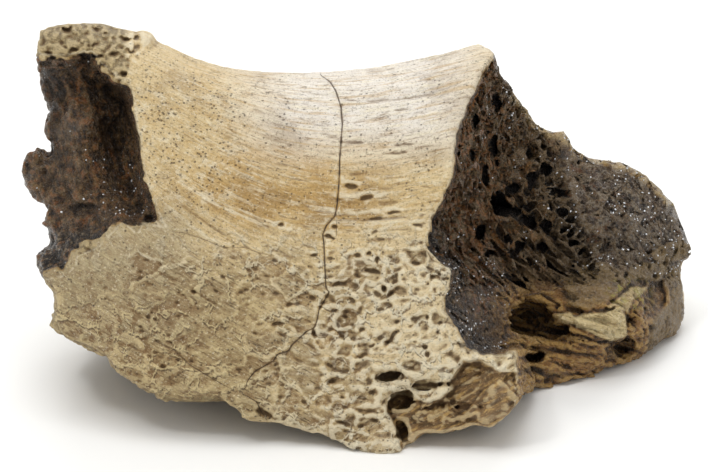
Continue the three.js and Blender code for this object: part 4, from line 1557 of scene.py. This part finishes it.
@dataclass
class Weave:
    """Short ways to write a material's arithmetic, over the one function that adds a node.

    Attributes:
        tree: The node tree that is written to.
    """

    tree: bpy.types.NodeTree

    def maths(self, operation: str, *values: object, clamp: bool = False) -> Socket:
        """Result of a maths operation on sockets or numbers."""
        links = {f"_{i}": value for i, value in enumerate(values)}
        settings = {"operation": operation, "use_clamp": clamp}
        return add(self.tree, "ShaderNodeMath", settings, **links).outputs[0]

    def step(self, value: object, low: float, high: float) -> Socket:
        """Smooth ramp from 0 at low to 1 at high."""
        rising = high > low
        span = add(self.tree, "ShaderNodeMapRange", {"interpolation_type": "SMOOTHSTEP"}, _0=value,
                   _1=low if rising else high, _2=high if rising else low,
                   _3=0.0 if rising else 1.0, _4=1.0 if rising else 0.0)
        return span.outputs[0]

    def blend(self, share: object, low: object, high: object) -> Socket:
        """Colour between two colours."""
        node = add(self.tree, "ShaderNodeMix", {"data_type": "RGBA"})
        for socket, value in zip((node.inputs[0], node.inputs[6], node.inputs[7]), (share, low, high)):
            if isinstance(value, Socket):
                self.tree.links.new(value, socket)
            else:
                socket.default_value = value
        return node.outputs[2]

    def every(self, *masks: object) -> Socket:
        """Product of masks and numbers."""
        total = masks[0]
        for mask in masks[1:]:
            total = self.maths("MULTIPLY", total, mask)
        return total

    def near(self, value: object, middle: float, full: float, none: float) -> Socket:
        """1 within full of a middle value, falling to 0 at none from it."""
        return self.step(self.maths("ABSOLUTE", self.maths("SUBTRACT", value, middle)), none, full)

    def layered(self, colour: object, layers: tuple) -> Socket:
        """A colour with layers over it, each a mask, its strength and its sRGB colour or colour socket."""
        for mask, strength, over in layers:
            code = linear(over) if isinstance(over, str) else over
            colour = self.blend(self.maths("MULTIPLY", mask, strength), colour, code)
        return colour

    def channels(self) -> dict:
        """The mesh's attributes: each vector by its own name, and its parts by theirs."""
        found = {}
        for name, names in CHANNELS.items():
            read = add(self.tree, "ShaderNodeAttribute", {"attribute_name": name})
            split = add(self.tree, "ShaderNodeSeparateXYZ", _0=read.outputs["Vector"])
            found[name] = read.outputs["Vector"]
            found.update(zip(names, split.outputs))
        return found

    def turned(self, vector: Socket, turn: float, scale: tuple) -> Socket:
        """A vector turned about the third axis, then multiplied part by part."""
        about = {"rotation_type": "Z_AXIS"}
        spun = add(self.tree, "ShaderNodeVectorRotate", about, Vector=vector, Angle=turn)
        return self.scaled(spun.outputs[0], scale)

    def scaled(self, vector: Socket, scale: tuple) -> Socket:
        """A vector multiplied part by part."""
        product = {"operation": "MULTIPLY"}
        return add(self.tree, "ShaderNodeVectorMath", product, _0=vector, _1=scale).outputs[0]

    def noise(self, vector: Socket, size: float, detail: float = 3.0,
              roughness: float = 0.55) -> Socket:
        """Noise from 0 to 1 whose bumps are about size mm wide."""
        node = add(self.tree, "ShaderNodeTexNoise", None, Vector=vector, Scale=1 / size, Detail=detail,
                   Roughness=roughness)
        return node.outputs["Fac"]


@dataclass(frozen=True)
class MineralisedBone:
    """Permineralised fossil bone: weathered tan outside, and dark, slightly glossy mineral inside.

    To the eye the skin is chalky satin with a woody grain, and fresh breaks are dark brown with a wet glint.
    """

    chalk: str = "#f0e4c6"  # bleached ridges of the skin
    tan: str = "#dcc391"  # the skin's main colour
    bleached_and_top_lit: str = "#f7f1e8"  # palest skin high on the waist, partly a paler tone and partly painted light from above on the upward-facing top
    gold: str = "#c39d5a"  # warm iron-stained skin
    slate: str = "#9c8d6c"  # greyish skin at the lower left
    ochre: str = "#96763f"  # yellow-brown skin along the bottom edge
    clay: str = "#aa9465"  # grey-tan skin low on the bone
    sand: str = "#7c6a45"  # olive-tan porous bone of the rim
    straw: str = "#e0cb98"  # thin worn edges of the skin's plates
    honey_glow: str = "#b0702e"  # sides of the spongy bone's cells, brightened orange as painted glow of light through their translucent mineral
    dirt: str = "#3c2a15"  # dirt in the cracks
    silt: str = "#826c47"  # grey-brown floors of the skin's sunk fields
    umber_and_shade: str = "#7a5930"  # brown bone where the skin is chipped, and painted shade in shallow hollows
    chestnut: str = "#92693a"  # warm brown slabs low on the right end
    earth_and_shade: str = "#463016"  # dark brown of pinholes, scratches and the worn underside, and painted shade in hollows, deep places and under plate edges
    rust: str = "#8a501d"  # iron-stained cell walls
    olive_and_highlight: str = "#7d6747"  # edges of the spongy bone's cells: their own olive-brown, and painted highlight on the rims
    peat: str = "#422e1a"  # its walls
    black_and_shade: str = "#120b06"  # near-black of the spongy bone, and painted shade in its depths, hollows and sunk facets
    ash: str = "#8e8270"  # grey mineral dust on the granular break
    sulphur: str = "#a3963c"  # yellow-green mineral bloom
    skin_roughness: float = 0.6
    inner_roughness: float = 0.26
    ior: float = 1.54

    def make(self) -> bpy.types.Material:
        """Builds the material."""
        material = bare_material("mineralised_bone")
        tree = material.node_tree
        weave = Weave(tree)
        at = weave.channels()
        every, step, noise, maths, layered = weave.every, weave.step, weave.noise, weave.maths, weave.layered
        wobble = maths("SUBTRACT", noise(at["face"], 1.1), 0.5)
        inside = maths("MAXIMUM", at["right"], at["left"])
        in_break = step(maths("MULTIPLY_ADD", wobble, 0.7, inside), -0.1, 0.3)
        deep = step(maths("ADD", wobble, at["below"]), 0.7, 1.5)
        dark = every(in_break, deep)
        outside = maths("SUBTRACT", 1.0, in_break)
        worn = every(outside, step(at["below"], 1.4, 3.2), maths("SUBTRACT", 1.0, at["lobe"]))
        fibre = noise(weave.turned(at["face"], -0.5, (0.3, 1.6, 0.8)), 1.0, 5, 0.65)
        brown = layered(linear(self.umber_and_shade), (
            (step(fibre, 0.5, 0.36), 0.8, self.earth_and_shade),
            (step(fibre, 0.5, 0.62), 0.8, self.gold),
            (step(noise(at["face"], 0.5, 4, 0.7), 0.54, 0.7), 0.5, self.tan),
            (step(at["hollow"], -0.03, -0.12), 0.55, self.tan),
            # Painted shade in the hollows.
            (step(at["hollow"], 0.04, 0.14), 0.6, self.earth_and_shade),
        ))
        porous = layered(linear(self.sand), (
            (step(noise(at["face"], 0.8, 5, 0.7), 0.48, 0.36), 0.8, self.earth_and_shade),
            (step(noise(at["face"], 0.5, 5, 0.7), 0.5, 0.64), 0.5, self.tan),
            (step(at["hollow"], -0.01, -0.09), 0.5, self.tan),
            # Painted shade, deeper in the deeper hollows.
            (step(at["hollow"], 0.01, 0.1), 0.6, self.umber_and_shade),
            (step(at["hollow"], 0.06, 0.18), 0.7, self.earth_and_shade),
        ))
        skin = layered(self.skin_colour(weave, at), (
            (at["pitted"], 0.9, porous),
            (at["lobe"], 0.92, brown),
            (worn, 0.7, porous),
        ))
        frayed = step(wobble, -0.1, 0.05)
        lip = every(step(inside, -0.4, -0.15), outside, frayed, step(at["facing"], 0.0, 0.3))
        near_rim = maths("MULTIPLY_ADD", wobble, 1.6, at["rim_gap"])
        seam = every(in_break, weave.near(deep, 0.5, 0.1, 0.5))
        colour = layered(weave.blend(dark, skin, self.inner_colour(weave, at)), (
            (lip, 0.4, self.chalk),
            (seam, 0.5, self.gold),
            (step(near_rim, 1.1, 0.2), 0.75, brown),
        ))
        colour = self.crack_colour(weave, at, colour, dark)
        shader = add(tree, "ShaderNodeBsdfPrincipled", None, Base_Color=colour, IOR=self.ior)
        rough = maths("MULTIPLY_ADD", noise(at["face"], 0.5), 0.36, -0.18)
        level = maths("MULTIPLY_ADD", dark, self.inner_roughness - self.skin_roughness, self.skin_roughness)
        tree.links.new(maths("ADD", level, rough, clamp=True), shader.inputs["Roughness"])
        tree.links.new(self.relief(weave, at, dark), shader.inputs["Normal"])
        add(tree, "ShaderNodeOutputMaterial", None, Surface=shader.outputs[0])
        return material

    def hatching(self, weave: Weave, at: dict) -> Socket:
        """Fine slanting scratches: down to the right on the left half, and up to the right beyond."""
        left = weave.noise(weave.turned(at["face"], 0.5, (0.5, 3.4, 1.0)), 1.0, 3, 0.6)
        right = weave.noise(weave.turned(at["face"], -0.7, (0.5, 3.0, 1.0)), 1.0, 3, 0.6)
        share = weave.step(at["x"], -8.0, 2.0)
        return weave.maths("ADD", weave.every(right, share),
                           weave.every(left, weave.maths("SUBTRACT", 1.0, share)))

    def skin_colour(self, weave: Weave, at: dict) -> Socket:
        """Colour of the weathered skin."""
        every, step, near, noise, maths = weave.every, weave.step, weave.near, weave.noise, weave.maths
        face, grain, x, t = at["face"], at["grain"], at["x"], at["t"]
        streak = noise(weave.scaled(grain, (0.12, 1.9, 0.15)), 1.0, 4, 0.6)
        fine = noise(weave.scaled(grain, (0.3, 3.4, 0.3)), 1.0, 3, 0.6)
        hair = noise(weave.scaled(grain, (0.7, 6.0, 0.7)), 1.0, 2, 0.6)
        mottle = noise(face, 1.7, 5, 0.7)
        grit = noise(face, 0.42, 3, 0.7)
        hatch = self.hatching(weave, at)
        cloud = noise(face, 9.0, 3)
        warm = every(near(t, 8.0, 3.0, 10.0), near(x, -10.0, 8.0, 22.0), step(cloud, 0.3, 0.6))
        low = every(step(t, 0.0, -10.0), step(x, 0.0, -22.0))
        # The top of the waist: painted paler, as light from above would make it, over a paler tone.
        high = every(step(t, 8.0, 19.0), near(x, 2.0, 8.0, 26.0))
        right = every(step(x, -4.0, 6.0), step(t, 6.0, -6.0))
        matrix = maths("SUBTRACT", 1.0, at["recess"])
        rough = step(t, 4.0, -6.0)
        inner = step(maths("MAXIMUM", at["right"], at["left"]), -0.6, -1.4)
        calm = maths("SUBTRACT", 1.0, maths("MULTIPLY", 0.6, every(
            near(t, -3.0, 5.0, 10.0), step(x, -22.0, -32.0))))
        scratched = every(step(t, 6.0, -2.0), step(x, -10.0, -26.0))
        shoulder = every(near(t, 14.0, 7.0, 14.0), step(x, -10.0, -22.0))
        cut = maths("MULTIPLY_ADD", at["recess"], 0.6, 0.4)
        rough = every(rough, calm)
        plate_edge = self.plate_edges(weave, at, 0.0)
        # The plate edges moved down 0.28 mm: a painted shadow line under each edge.
        plate_painted_shadow = self.plate_edges(weave, at, 0.28)
        ridge = weave.blend(low, linear(self.chalk), linear(self.straw))
        speck = noise(face, 0.3, 2, 0.5)
        break_up = step(noise(weave.scaled(grain, (0.35, 0.8, 0.4)), 1.0, 4, 0.65), 0.38, 0.58)
        layers = (
            (warm, 0.9, self.gold),
            (low, 0.8, self.clay),
            # Painted light on the upward-facing top, over a paler tone.
            (high, 0.88, self.bleached_and_top_lit),
            (every(near(t, -6.0, 9.0, 13.0), step(x, -20.0, -30.0)), 0.65, self.slate),
            (every(step(t, -22.0, -29.0), step(mottle, 0.35, 0.6)), 0.6, self.ochre),
            (right, 0.25, self.chalk),
            (step(cloud, 0.5, 0.68), 0.35, self.umber_and_shade),
            (step(at["tone"], 0.0, 0.4), 0.45, self.tan),
            (step(at["tone"], -0.1, -0.4), 0.45, self.umber_and_shade),
            (every(step(mottle, 0.5, 0.38), shoulder), 0.45, self.gold),
            (every(step(mottle, 0.52, 0.62), shoulder), 0.5, self.chalk),
            (at["recess"], 0.6, self.silt),
            (every(step(streak, 0.5, 0.66), at["fibrous"], break_up), 0.6, self.chalk),
            (every(step(streak, 0.5, 0.34), at["fibrous"]), 0.55, self.gold),
            (every(step(fine, 0.54, 0.66), at["fibrous"], break_up), 0.5, self.chalk),
            (every(step(fine, 0.46, 0.32), at["fibrous"], break_up), 0.5, self.umber_and_shade),
            (every(step(hair, 0.44, 0.34), at["fibrous"], break_up), 0.5, self.umber_and_shade),
            (every(step(mottle, 0.56, 0.64), rough, matrix), 0.35, ridge),
            (every(step(mottle, 0.5, 0.4), step(x, -18.0, -30.0), rough), 0.8, self.umber_and_shade),
            (every(step(mottle, 0.44, 0.36), rough), 0.5, self.umber_and_shade),
            (every(step(hatch, 0.44, 0.36), rough, cut), 0.75, self.earth_and_shade),
            (every(step(hatch, 0.46, 0.34), scratched), 0.22, self.umber_and_shade),
            (every(step(hatch, 0.56, 0.66), maths("MAXIMUM", rough, scratched)), 0.35, self.straw),
            (step(grit, 0.42, 0.34), 0.55, self.umber_and_shade),
            (step(grit, 0.58, 0.66), 0.55, self.chalk),
            (step(speck, 0.38, 0.28), 0.6, self.earth_and_shade),
            # Painted shadow under the plate edges.
            (every(plate_painted_shadow, rough), 0.7, self.earth_and_shade),
            (every(plate_edge, rough), 0.7, ridge),
            (every(step(at["hollow"], -0.015, -0.08), inner,
                   maths("MULTIPLY_ADD", low, -0.5, 1.0)), 0.6, ridge),
            # Painted shade: darker where bone closes round a hollow, and deep below the imported surface.
            (step(at["hollow"], 0.015, 0.08), 0.5, self.umber_and_shade),
            (step(at["hollow"], 0.07, 0.17), 0.65, self.earth_and_shade),
            (step(at["sunk"], 0.6, 1.8), 0.6, self.earth_and_shade),
            (self.pinholes(weave, at), 0.65, self.earth_and_shade),
        )
        return weave.layered(linear(self.tan), layers)

    def plate_edges(self, weave: Weave, at: dict, drop: float) -> Socket:
        """Crisp broken lines where thin plates of skin have flaked off, moved down by drop mm; moved down, they
        paint a shadow line under each edge.
        """
        lowered = add(weave.tree, "ShaderNodeVectorMath", {"operation": "ADD"}, _0=at["face"],
                      _1=(-0.4 * drop, drop, 0.0)).outputs[0]
        bend = add(weave.tree, "ShaderNodeTexNoise", None, Vector=lowered, Scale=1 / 1.6, Detail=3.0)
        shift = add(weave.tree, "ShaderNodeVectorMath", {"operation": "MULTIPLY_ADD"},
                    _0=bend.outputs["Color"], _1=(4.0, 4.0, 0.0), _2=lowered)
        cells = add(weave.tree, "ShaderNodeTexVoronoi", {"feature": "DISTANCE_TO_EDGE"},
                    Vector=weave.scaled(shift.outputs[0], (0.7, 1.0, 0.05)), Scale=1 / 3.4)
        return weave.every(weave.step(cells.outputs["Distance"], 0.05, 0.02),
                           weave.step(weave.noise(lowered, 2.6, 3), 0.42, 0.52))

    def pinholes(self, weave: Weave, at: dict) -> Socket:
        """Scattered pinholes, 0.3 to 0.45 mm across."""
        holes = []
        shoulder = weave.every(weave.near(at["t"], 14.0, 7.0, 14.0), weave.step(at["x"], -14.0, -24.0))
        for size, low, high in ((1.2, 0.4, 0.56), (0.85, 0.52, 0.62)):
            pin = add(weave.tree, "ShaderNodeTexVoronoi", None, Vector=at["face"], Scale=1 / size)
            crowd = weave.maths("MULTIPLY_ADD", shoulder, 0.2, weave.noise(at["face"], 5.0 * size, 2))
            holes.append(weave.every(weave.step(pin.outputs["Distance"], 0.2 / size, 0.12 / size),
                                     weave.step(crowd, low, high)))
        return weave.maths("MAXIMUM", *holes)

    def inner_colour(self, weave: Weave, at: dict) -> Socket:
        """Colour of the dark inner bone."""
        every, step, near, noise, layered = weave.every, weave.step, weave.near, weave.noise, weave.layered
        face, x, t = at["face"], at["x"], at["t"]
        mottle = noise(face, 1.6, 5, 0.7)
        crumb = noise(face, 0.55, 4, 0.7)
        rusty = noise(face, 3.0, 4, 0.6)
        tinge = noise(face, 1.0, 3, 0.6)
        upright = noise(weave.turned(face, -0.3, (2.6, 0.35, 1.0)), 1.0, 4, 0.6)
        sloped = noise(weave.turned(face, 0.28, (0.25, 2.2, 1.0)), 1.0, 5, 0.65)
        granular = every(step(x, 29.0, 38.0), step(t, -10.0, -3.0))
        left = step(x, -20.0, -26.0)
        tawny = every(step(t, -6.0, -10.0), step(x, 20.0, 25.0))
        open_edge = step(at["hollow"], -0.01, -0.1)
        strip = every(step(at["right"], 3.4, 1.8), near(t, -9.0, 8.0, 12.0))
        brown = layered(linear(self.chestnut), (
            (step(sloped, 0.5, 0.36), 0.75, self.earth_and_shade),
            (step(sloped, 0.52, 0.66), 0.7, self.gold),
            (step(mottle, 0.46, 0.34), 0.6, self.black_and_shade),
            (open_edge, 0.6, self.gold),
            # Painted shade in the hollows.
            (step(at["hollow"], 0.0, 0.08), 0.6, self.earth_and_shade),
        ))
        grey = layered(linear(self.silt), (
            (step(mottle, 0.52, 0.36), 0.7, self.peat),
            (step(crumb, 0.52, 0.66), 0.5, self.ash),
        ))
        pale = layered(linear(self.straw), (
            (step(sloped, 0.5, 0.38), 0.65, self.ochre),
            (step(sloped, 0.56, 0.66), 0.5, self.chalk),
            (step(crumb, 0.42, 0.3), 0.55, self.earth_and_shade),
        ))
        bloom = every(near(x, 42.3, 1.5, 4.5), near(t, -9.0, 0.8, 3.2),
                      step(noise(face, 1.3, 3), 0.52, 0.6))
        return layered(linear(self.peat), (
            (step(mottle, 0.5, 0.34), 0.9, self.black_and_shade),
            (step(mottle, 0.5, 0.66), 0.55, self.olive_and_highlight),
            (every(step(upright, 0.5, 0.66), left), 0.55, self.umber_and_shade),
            (every(step(upright, 0.48, 0.34), left), 0.7, self.black_and_shade),
            (every(step(rusty, 0.5, 0.62), step(tinge, 0.48, 0.6)), 0.4, self.rust),
            # Painted glow of light through the cells' translucent sides, at mid-depth.
            (every(near(at["sunk"], 0.9, 0.4, 0.7), step(tinge, 0.46, 0.58),
                   near(x, 20.0, 6.0, 11.0), step(t, -6.0, -2.0)), 0.7, self.honey_glow),
            # Lighter cell rims: olive wall colour with painted highlight on the crests.
            (every(open_edge, weave.maths("SUBTRACT", 1.0, weave.maths("MULTIPLY", left, 0.4))), 0.6,
             self.olive_and_highlight),
            (every(open_edge, step(tinge, 0.46, 0.56), step(x, 28.0, 18.0)), 0.45, self.rust),
            (every(strip, step(mottle, 0.64, 0.48)), 0.9, self.black_and_shade),
            (every(strip, step(rusty, 0.54, 0.62), step(crumb, 0.4, 0.5)), 0.6, self.umber_and_shade),
            (every(strip, step(crumb, 0.56, 0.62)), 0.8, self.ash),
            (every(granular, step(crumb, 0.48, 0.62)), 0.75, self.ash),
            (every(granular, step(crumb, 0.46, 0.34)), 0.8, self.black_and_shade),
            (every(step(crumb, 0.52, 0.64), left), 0.5, self.olive_and_highlight),
            (every(step(rusty, 0.56, 0.68), left, step(upright, 0.4, 0.5)), 0.35, self.rust),
            (tawny, 0.9, brown),
            (at["plate"], 0.9, grey),
            (at["splinter"], 0.92, pale),
            (bloom, 0.75, self.sulphur),
            # Painted shade: near-black in hollows and deep in the cells.
            (step(at["hollow"], 0.02, 0.12), 0.6, self.black_and_shade),
            (step(at["sunk"], 1.0, 2.2), 0.9, self.black_and_shade),
            (at["splinter"], 0.5, pale),
            # Painted shade on the darkest, sunk facets.
            (at["cave"], 0.5, self.black_and_shade),
        ))

    def crack_colour(self, weave: Weave, at: dict, colour: object, dark: object) -> Socket:
        """Draws the hairline cracks over a colour."""
        line = 0.0
        for number, crack in enumerate(CRACKS):
            width = weave.step(weave.maths("ABSOLUTE", at[f"crack_{number}"]), 1.0, 0.35)
            line = weave.maths("MAXIMUM", line, weave.maths("MULTIPLY", width, crack.strength))
        line = weave.every(line, weave.step(at["facing"], 0.0, 0.3), weave.maths("SUBTRACT", 1.0, dark))
        patchy = weave.step(weave.noise(at["face"], 1.3, 4, 0.7), 0.3, 0.55)
        line = weave.every(line, weave.maths("MULTIPLY_ADD", patchy, 0.5, 0.5))
        return weave.layered(colour, ((line, 0.9, self.dirt),))

    def relief(self, weave: Weave, at: dict, dark: object) -> Socket:
        """Grain too fine for the mesh, as bump; the dark bone is lumpier."""
        fibre = weave.noise(weave.scaled(at["grain"], (0.35, 3.4, 0.5)), 1.0, 4, 0.6)
        grit = weave.noise(at["face"], 0.45, 4, 0.65)
        height = weave.maths("MULTIPLY_ADD", fibre, 0.7, grit)
        height = weave.maths("MULTIPLY_ADD", self.hatching(weave, at), 0.6, height)
        height = weave.maths("MULTIPLY_ADD", self.plate_edges(weave, at, 0.0), 0.25, height)
        height = weave.maths("SUBTRACT", height, weave.maths("MULTIPLY", self.pinholes(weave, at), 0.6))
        lumps = weave.maths("MULTIPLY", weave.noise(at["face"], 0.9, 4, 0.7), 0.8)
        height = weave.maths("MULTIPLY_ADD", lumps, dark, height)
        bump = add(weave.tree, "ShaderNodeBump", None, Height=height, Distance=0.5 * MM, Strength=1.0)
        return bump.outputs[0]


@dataclass(frozen=True)
class DrusyQuartz:
    """Tiny quartz crystals grown on the open bone.

    To the eye they are smoky to near-white grains, glassy enough to flash where a face meets the light; the
    near-white ones are painted glints.

    Attributes:
        smoky: Darkest grains.
        glint_white: Palest grains, near white as painted glints.
        roughness: Of the crystal faces.
        ior: Of quartz.
    """

    smoky: str = "#4a3f34"
    # Near-white colour of the grains that stand in as painted glints.
    glint_white: str = "#e9ebee"
    roughness: float = 0.12
    ior: float = 1.544

    def make(self) -> bpy.types.Material:
        """Builds the material."""
        material = bare_material("drusy_quartz")
        tree = material.node_tree
        weave = Weave(tree)
        shade = add(tree, "ShaderNodeAttribute", {"attribute_name": "shade"}).outputs["Fac"]
        cloud = weave.noise(add(tree, "ShaderNodeTexCoord").outputs["Object"], 0.2 * MM, 2)
        # Share of each grain given the near-white painted glint colour.
        pale = weave.step(weave.maths("MULTIPLY_ADD", cloud, 0.4, shade), 0.6, 1.2)
        colour = weave.blend(pale, linear(self.smoky), linear(self.glint_white))
        shader = add(tree, "ShaderNodeBsdfPrincipled", None, Base_Color=colour, IOR=self.ior,
                     Roughness=self.roughness)
        add(tree, "ShaderNodeOutputMaterial", None, Surface=shader.outputs[0])
        return material


# ------------ Quartz grains ------------

@dataclass(frozen=True)
class QuartzGrains:
    """Crystals strewn over the broken bone by Geometry Nodes.

    Attributes:
        per_square_mm: Grains to a square millimetre where they are thickest.
        least: Radius of the smallest grain in mm.
        greatest: Radius of the largest in mm.
        seed: Fixes where they fall.
    """

    per_square_mm: float = 1.1
    least: float = 0.05
    greatest: float = 0.16
    seed: int = 7

    def tree(self) -> bpy.types.GeometryNodeTree:
        """The tree that strews grains over a mesh by its glint attribute."""
        tree = bpy.data.node_groups.new("quartz_grains", "GeometryNodeTree")
        tree.interface.new_socket("Geometry", in_out="INPUT", socket_type="NodeSocketGeometry")
        tree.interface.new_socket("Geometry", in_out="OUTPUT", socket_type="NodeSocketGeometry")
        for name, kind in (("Density", "Float"), ("Least", "Float"), ("Greatest", "Float"), ("Seed", "Int"),
                           ("Finish", "Material")):
            tree.interface.new_socket(name, in_out="INPUT", socket_type=f"NodeSocket{kind}")
        source = add(tree, "NodeGroupInput").outputs
        glint = add(tree, "GeometryNodeInputNamedAttribute", {"data_type": "FLOAT"}, Name="glint").outputs[0]
        density = Weave(tree).maths("MULTIPLY", glint, source["Density"])
        spots = add(tree, "GeometryNodeDistributePointsOnFaces", None, Mesh=source["Geometry"],
                    Density=density, Seed=source["Seed"]).outputs[0]
        grain = add(tree, "GeometryNodeMeshIcoSphere", None, Radius=1.0, Subdivisions=1).outputs[0]
        spin = add(tree, "FunctionNodeRandomValue", {"data_type": "FLOAT_VECTOR"}, Seed=source["Seed"])
        spin.inputs[1].default_value = (6.28,) * 3
        size = add(tree, "FunctionNodeRandomValue", {"data_type": "FLOAT"}, Seed=source["Seed"],
                   _2=source["Least"], _3=source["Greatest"])
        squash = add(tree, "FunctionNodeRandomValue", {"data_type": "FLOAT_VECTOR"}, Seed=source["Seed"])
        squash.inputs[0].default_value = (0.6, 0.6, 0.8)
        squash.inputs[1].default_value = (1.2, 1.2, 1.6)
        scale = add(tree, "ShaderNodeVectorMath", {"operation": "SCALE"}, _0=squash.outputs[0],
                    Scale=size.outputs[1])
        placed = add(tree, "GeometryNodeInstanceOnPoints", None, Points=spots, Instance=grain,
                     Rotation=spin.outputs[0], Scale=scale.outputs[0]).outputs[0]
        shade = add(tree, "FunctionNodeRandomValue", {"data_type": "FLOAT"}, Seed=source["Seed"])
        marked = add(tree, "GeometryNodeStoreNamedAttribute", {"data_type": "FLOAT", "domain": "INSTANCE"},
                     Geometry=placed, Name="shade", Value=shade.outputs[1]).outputs[0]
        whole = add(tree, "GeometryNodeRealizeInstances", None, Geometry=marked).outputs[0]
        dressed = add(tree, "GeometryNodeSetMaterial", None, Geometry=whole, Material=source["Finish"])
        add(tree, "NodeGroupOutput", None, _0=dressed.outputs[0])
        return tree

    def build(self, hosts: list, finish: bpy.types.Material) -> bpy.types.Object:
        """Makes the grains over the bone's pieces.

        Args:
            hosts: The pieces they lie on, which carry the glint attribute.
            finish: The grains' material.

        Returns:
            All the grains as one plain mesh.
        """
        shell = bmesh.new()
        for host in hosts:
            shell.from_mesh(host.data)
        data = bpy.data.meshes.new("host")
        shell.to_mesh(data)
        shell.free()
        host = put_in_scene("host", data)
        tree = self.tree()
        values = {"Density": self.per_square_mm / MM**2, "Least": self.least * MM,
                  "Greatest": self.greatest * MM, "Seed": self.seed, "Finish": finish}
        modifier = host.modifiers.new("strew", "NODES")
        modifier.node_group = tree
        for socket in tree.interface.items_tree:
            if socket.name in values:
                modifier[socket.identifier] = values[socket.name]
        finished = bpy.data.meshes.new_from_object(host.evaluated_get(bpy.context.evaluated_depsgraph_get()))
        bpy.data.objects.remove(host)
        return put_in_scene("quartz_grains", finished)


# ------------ Studio ------------

@dataclass(frozen=True)
class Lamp:
    """A soft square light.

    Attributes:
        name: What it is called.
        place: Where it hangs, in metres.
        target: What it points at.
        size: Width of its face.
        watts: Its power.
        tint: Its colour.
    """

    name: str
    place: tuple
    target: tuple
    size: float
    watts: float
    tint: str = "#ffffff"

    def hang(self) -> None:
        """Puts the light in the scene."""
        data = bpy.data.lights.new(self.name, "AREA")
        data.shape = "SQUARE"
        data.size = self.size
        data.energy = self.watts
        data.color = linear(self.tint)[:3]
        lamp = put_in_scene(self.name, data)
        lamp.location = self.place
        lamp.rotation_euler = (Vector(self.target) - Vector(self.place)).to_track_quat("-Z", "Y").to_euler()


@dataclass(frozen=True)
class Studio:
    """A pale table, soft light and the camera.

    Attributes:
        table: Width of the table.
        table_colour: Its colour.
        lamps: The lights.
        sky: Strength of the even light from all round.
        distance: Camera's distance from the bone axes' origin.
        lens: Its focal length on a 36 mm sensor.
    """

    table: float = 6.0
    table_colour: str = "#f7f7f5"
    lamps: tuple = (
        Lamp("overhead", (-0.10, -0.10, 0.75), (0, 0, 0.02), 0.6, 2.7),
        Lamp("spark", (-0.28, -0.3, 0.62), (0, 0, 0.02), 0.1, 0.7),
        Lamp("behind", (0.1, 1.1, 0.7), (0.0, 0.45, 0), 0.9, 7.0),
        Lamp("front_fill", (0.35, -0.9, 0.35), (0, 0, 0.02), 0.6, 1.0),
    )
    sky: float = 0.6
    distance: float = 0.7
    lens: float = 231.7

    def lay_table(self) -> bpy.types.Object:
        """Makes the table top."""
        half = self.table / 2
        data = bpy.data.meshes.new("table")
        data.from_pydata([(-half, -half, 0), (half, -half, 0), (half, half, 0), (-half, half, 0)], [],
                         [(0, 1, 2, 3)])
        table = put_in_scene("table", data)
        paper = bpy.data.materials.new("matt_white_card")
        paper.use_nodes = True
        shader = paper.node_tree.nodes["Principled BSDF"]
        shader.inputs["Base Color"].default_value = linear(self.table_colour)
        shader.inputs["Roughness"].default_value = 0.9
        shader.inputs["Specular IOR Level"].default_value = 0.2
        data.materials.append(paper)
        return table

    def set_up(self, axes: BoneAxes) -> None:
        """Puts table, lights, sky and camera in the scene."""
        self.lay_table()
        for lamp in self.lamps:
            lamp.hang()
        world = bpy.data.worlds.new("studio")
        world.use_nodes = True
        backdrop = world.node_tree.nodes["Background"]
        backdrop.inputs["Color"].default_value = (1, 1, 1, 1)
        backdrop.inputs["Strength"].default_value = self.sky
        scene = bpy.context.scene
        scene.world = world
        scene.view_settings.view_transform = "Standard"
        data = bpy.data.cameras.new("camera")
        data.lens = self.lens
        data.sensor_width = 36.0
        camera = put_in_scene("camera", data)
        inward = Vector(axes.inward())
        camera.location = Vector(axes.centre) * MM - inward * self.distance
        camera.rotation_euler = inward.to_track_quat("-Z", "Y").to_euler()
        scene.camera = camera


def main() -> None:
    """Builds the bone and the studio, and reports each piece."""
    logging.basicConfig(level=logging.INFO, format="%(name)s: %(message)s", force=True)
    coarser = tuple(replace(part, finer=2, triangles=50_000) for part in FossilBone.portions)
    maker = FossilBone()
    finish = MineralisedBone().make()
    bones = maker.build()
    for piece in bones:
        piece.data.materials.clear()
        piece.data.materials.append(finish)
        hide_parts(NODE)
    for piece in (*bones, QuartzGrains().build(bones, DrusyQuartz().make())):
        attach(piece, BODY)
        log.info("piece %s is in place", piece.name)
    Studio().set_up(maker.axes)


if __name__ == "__main__":
    main()
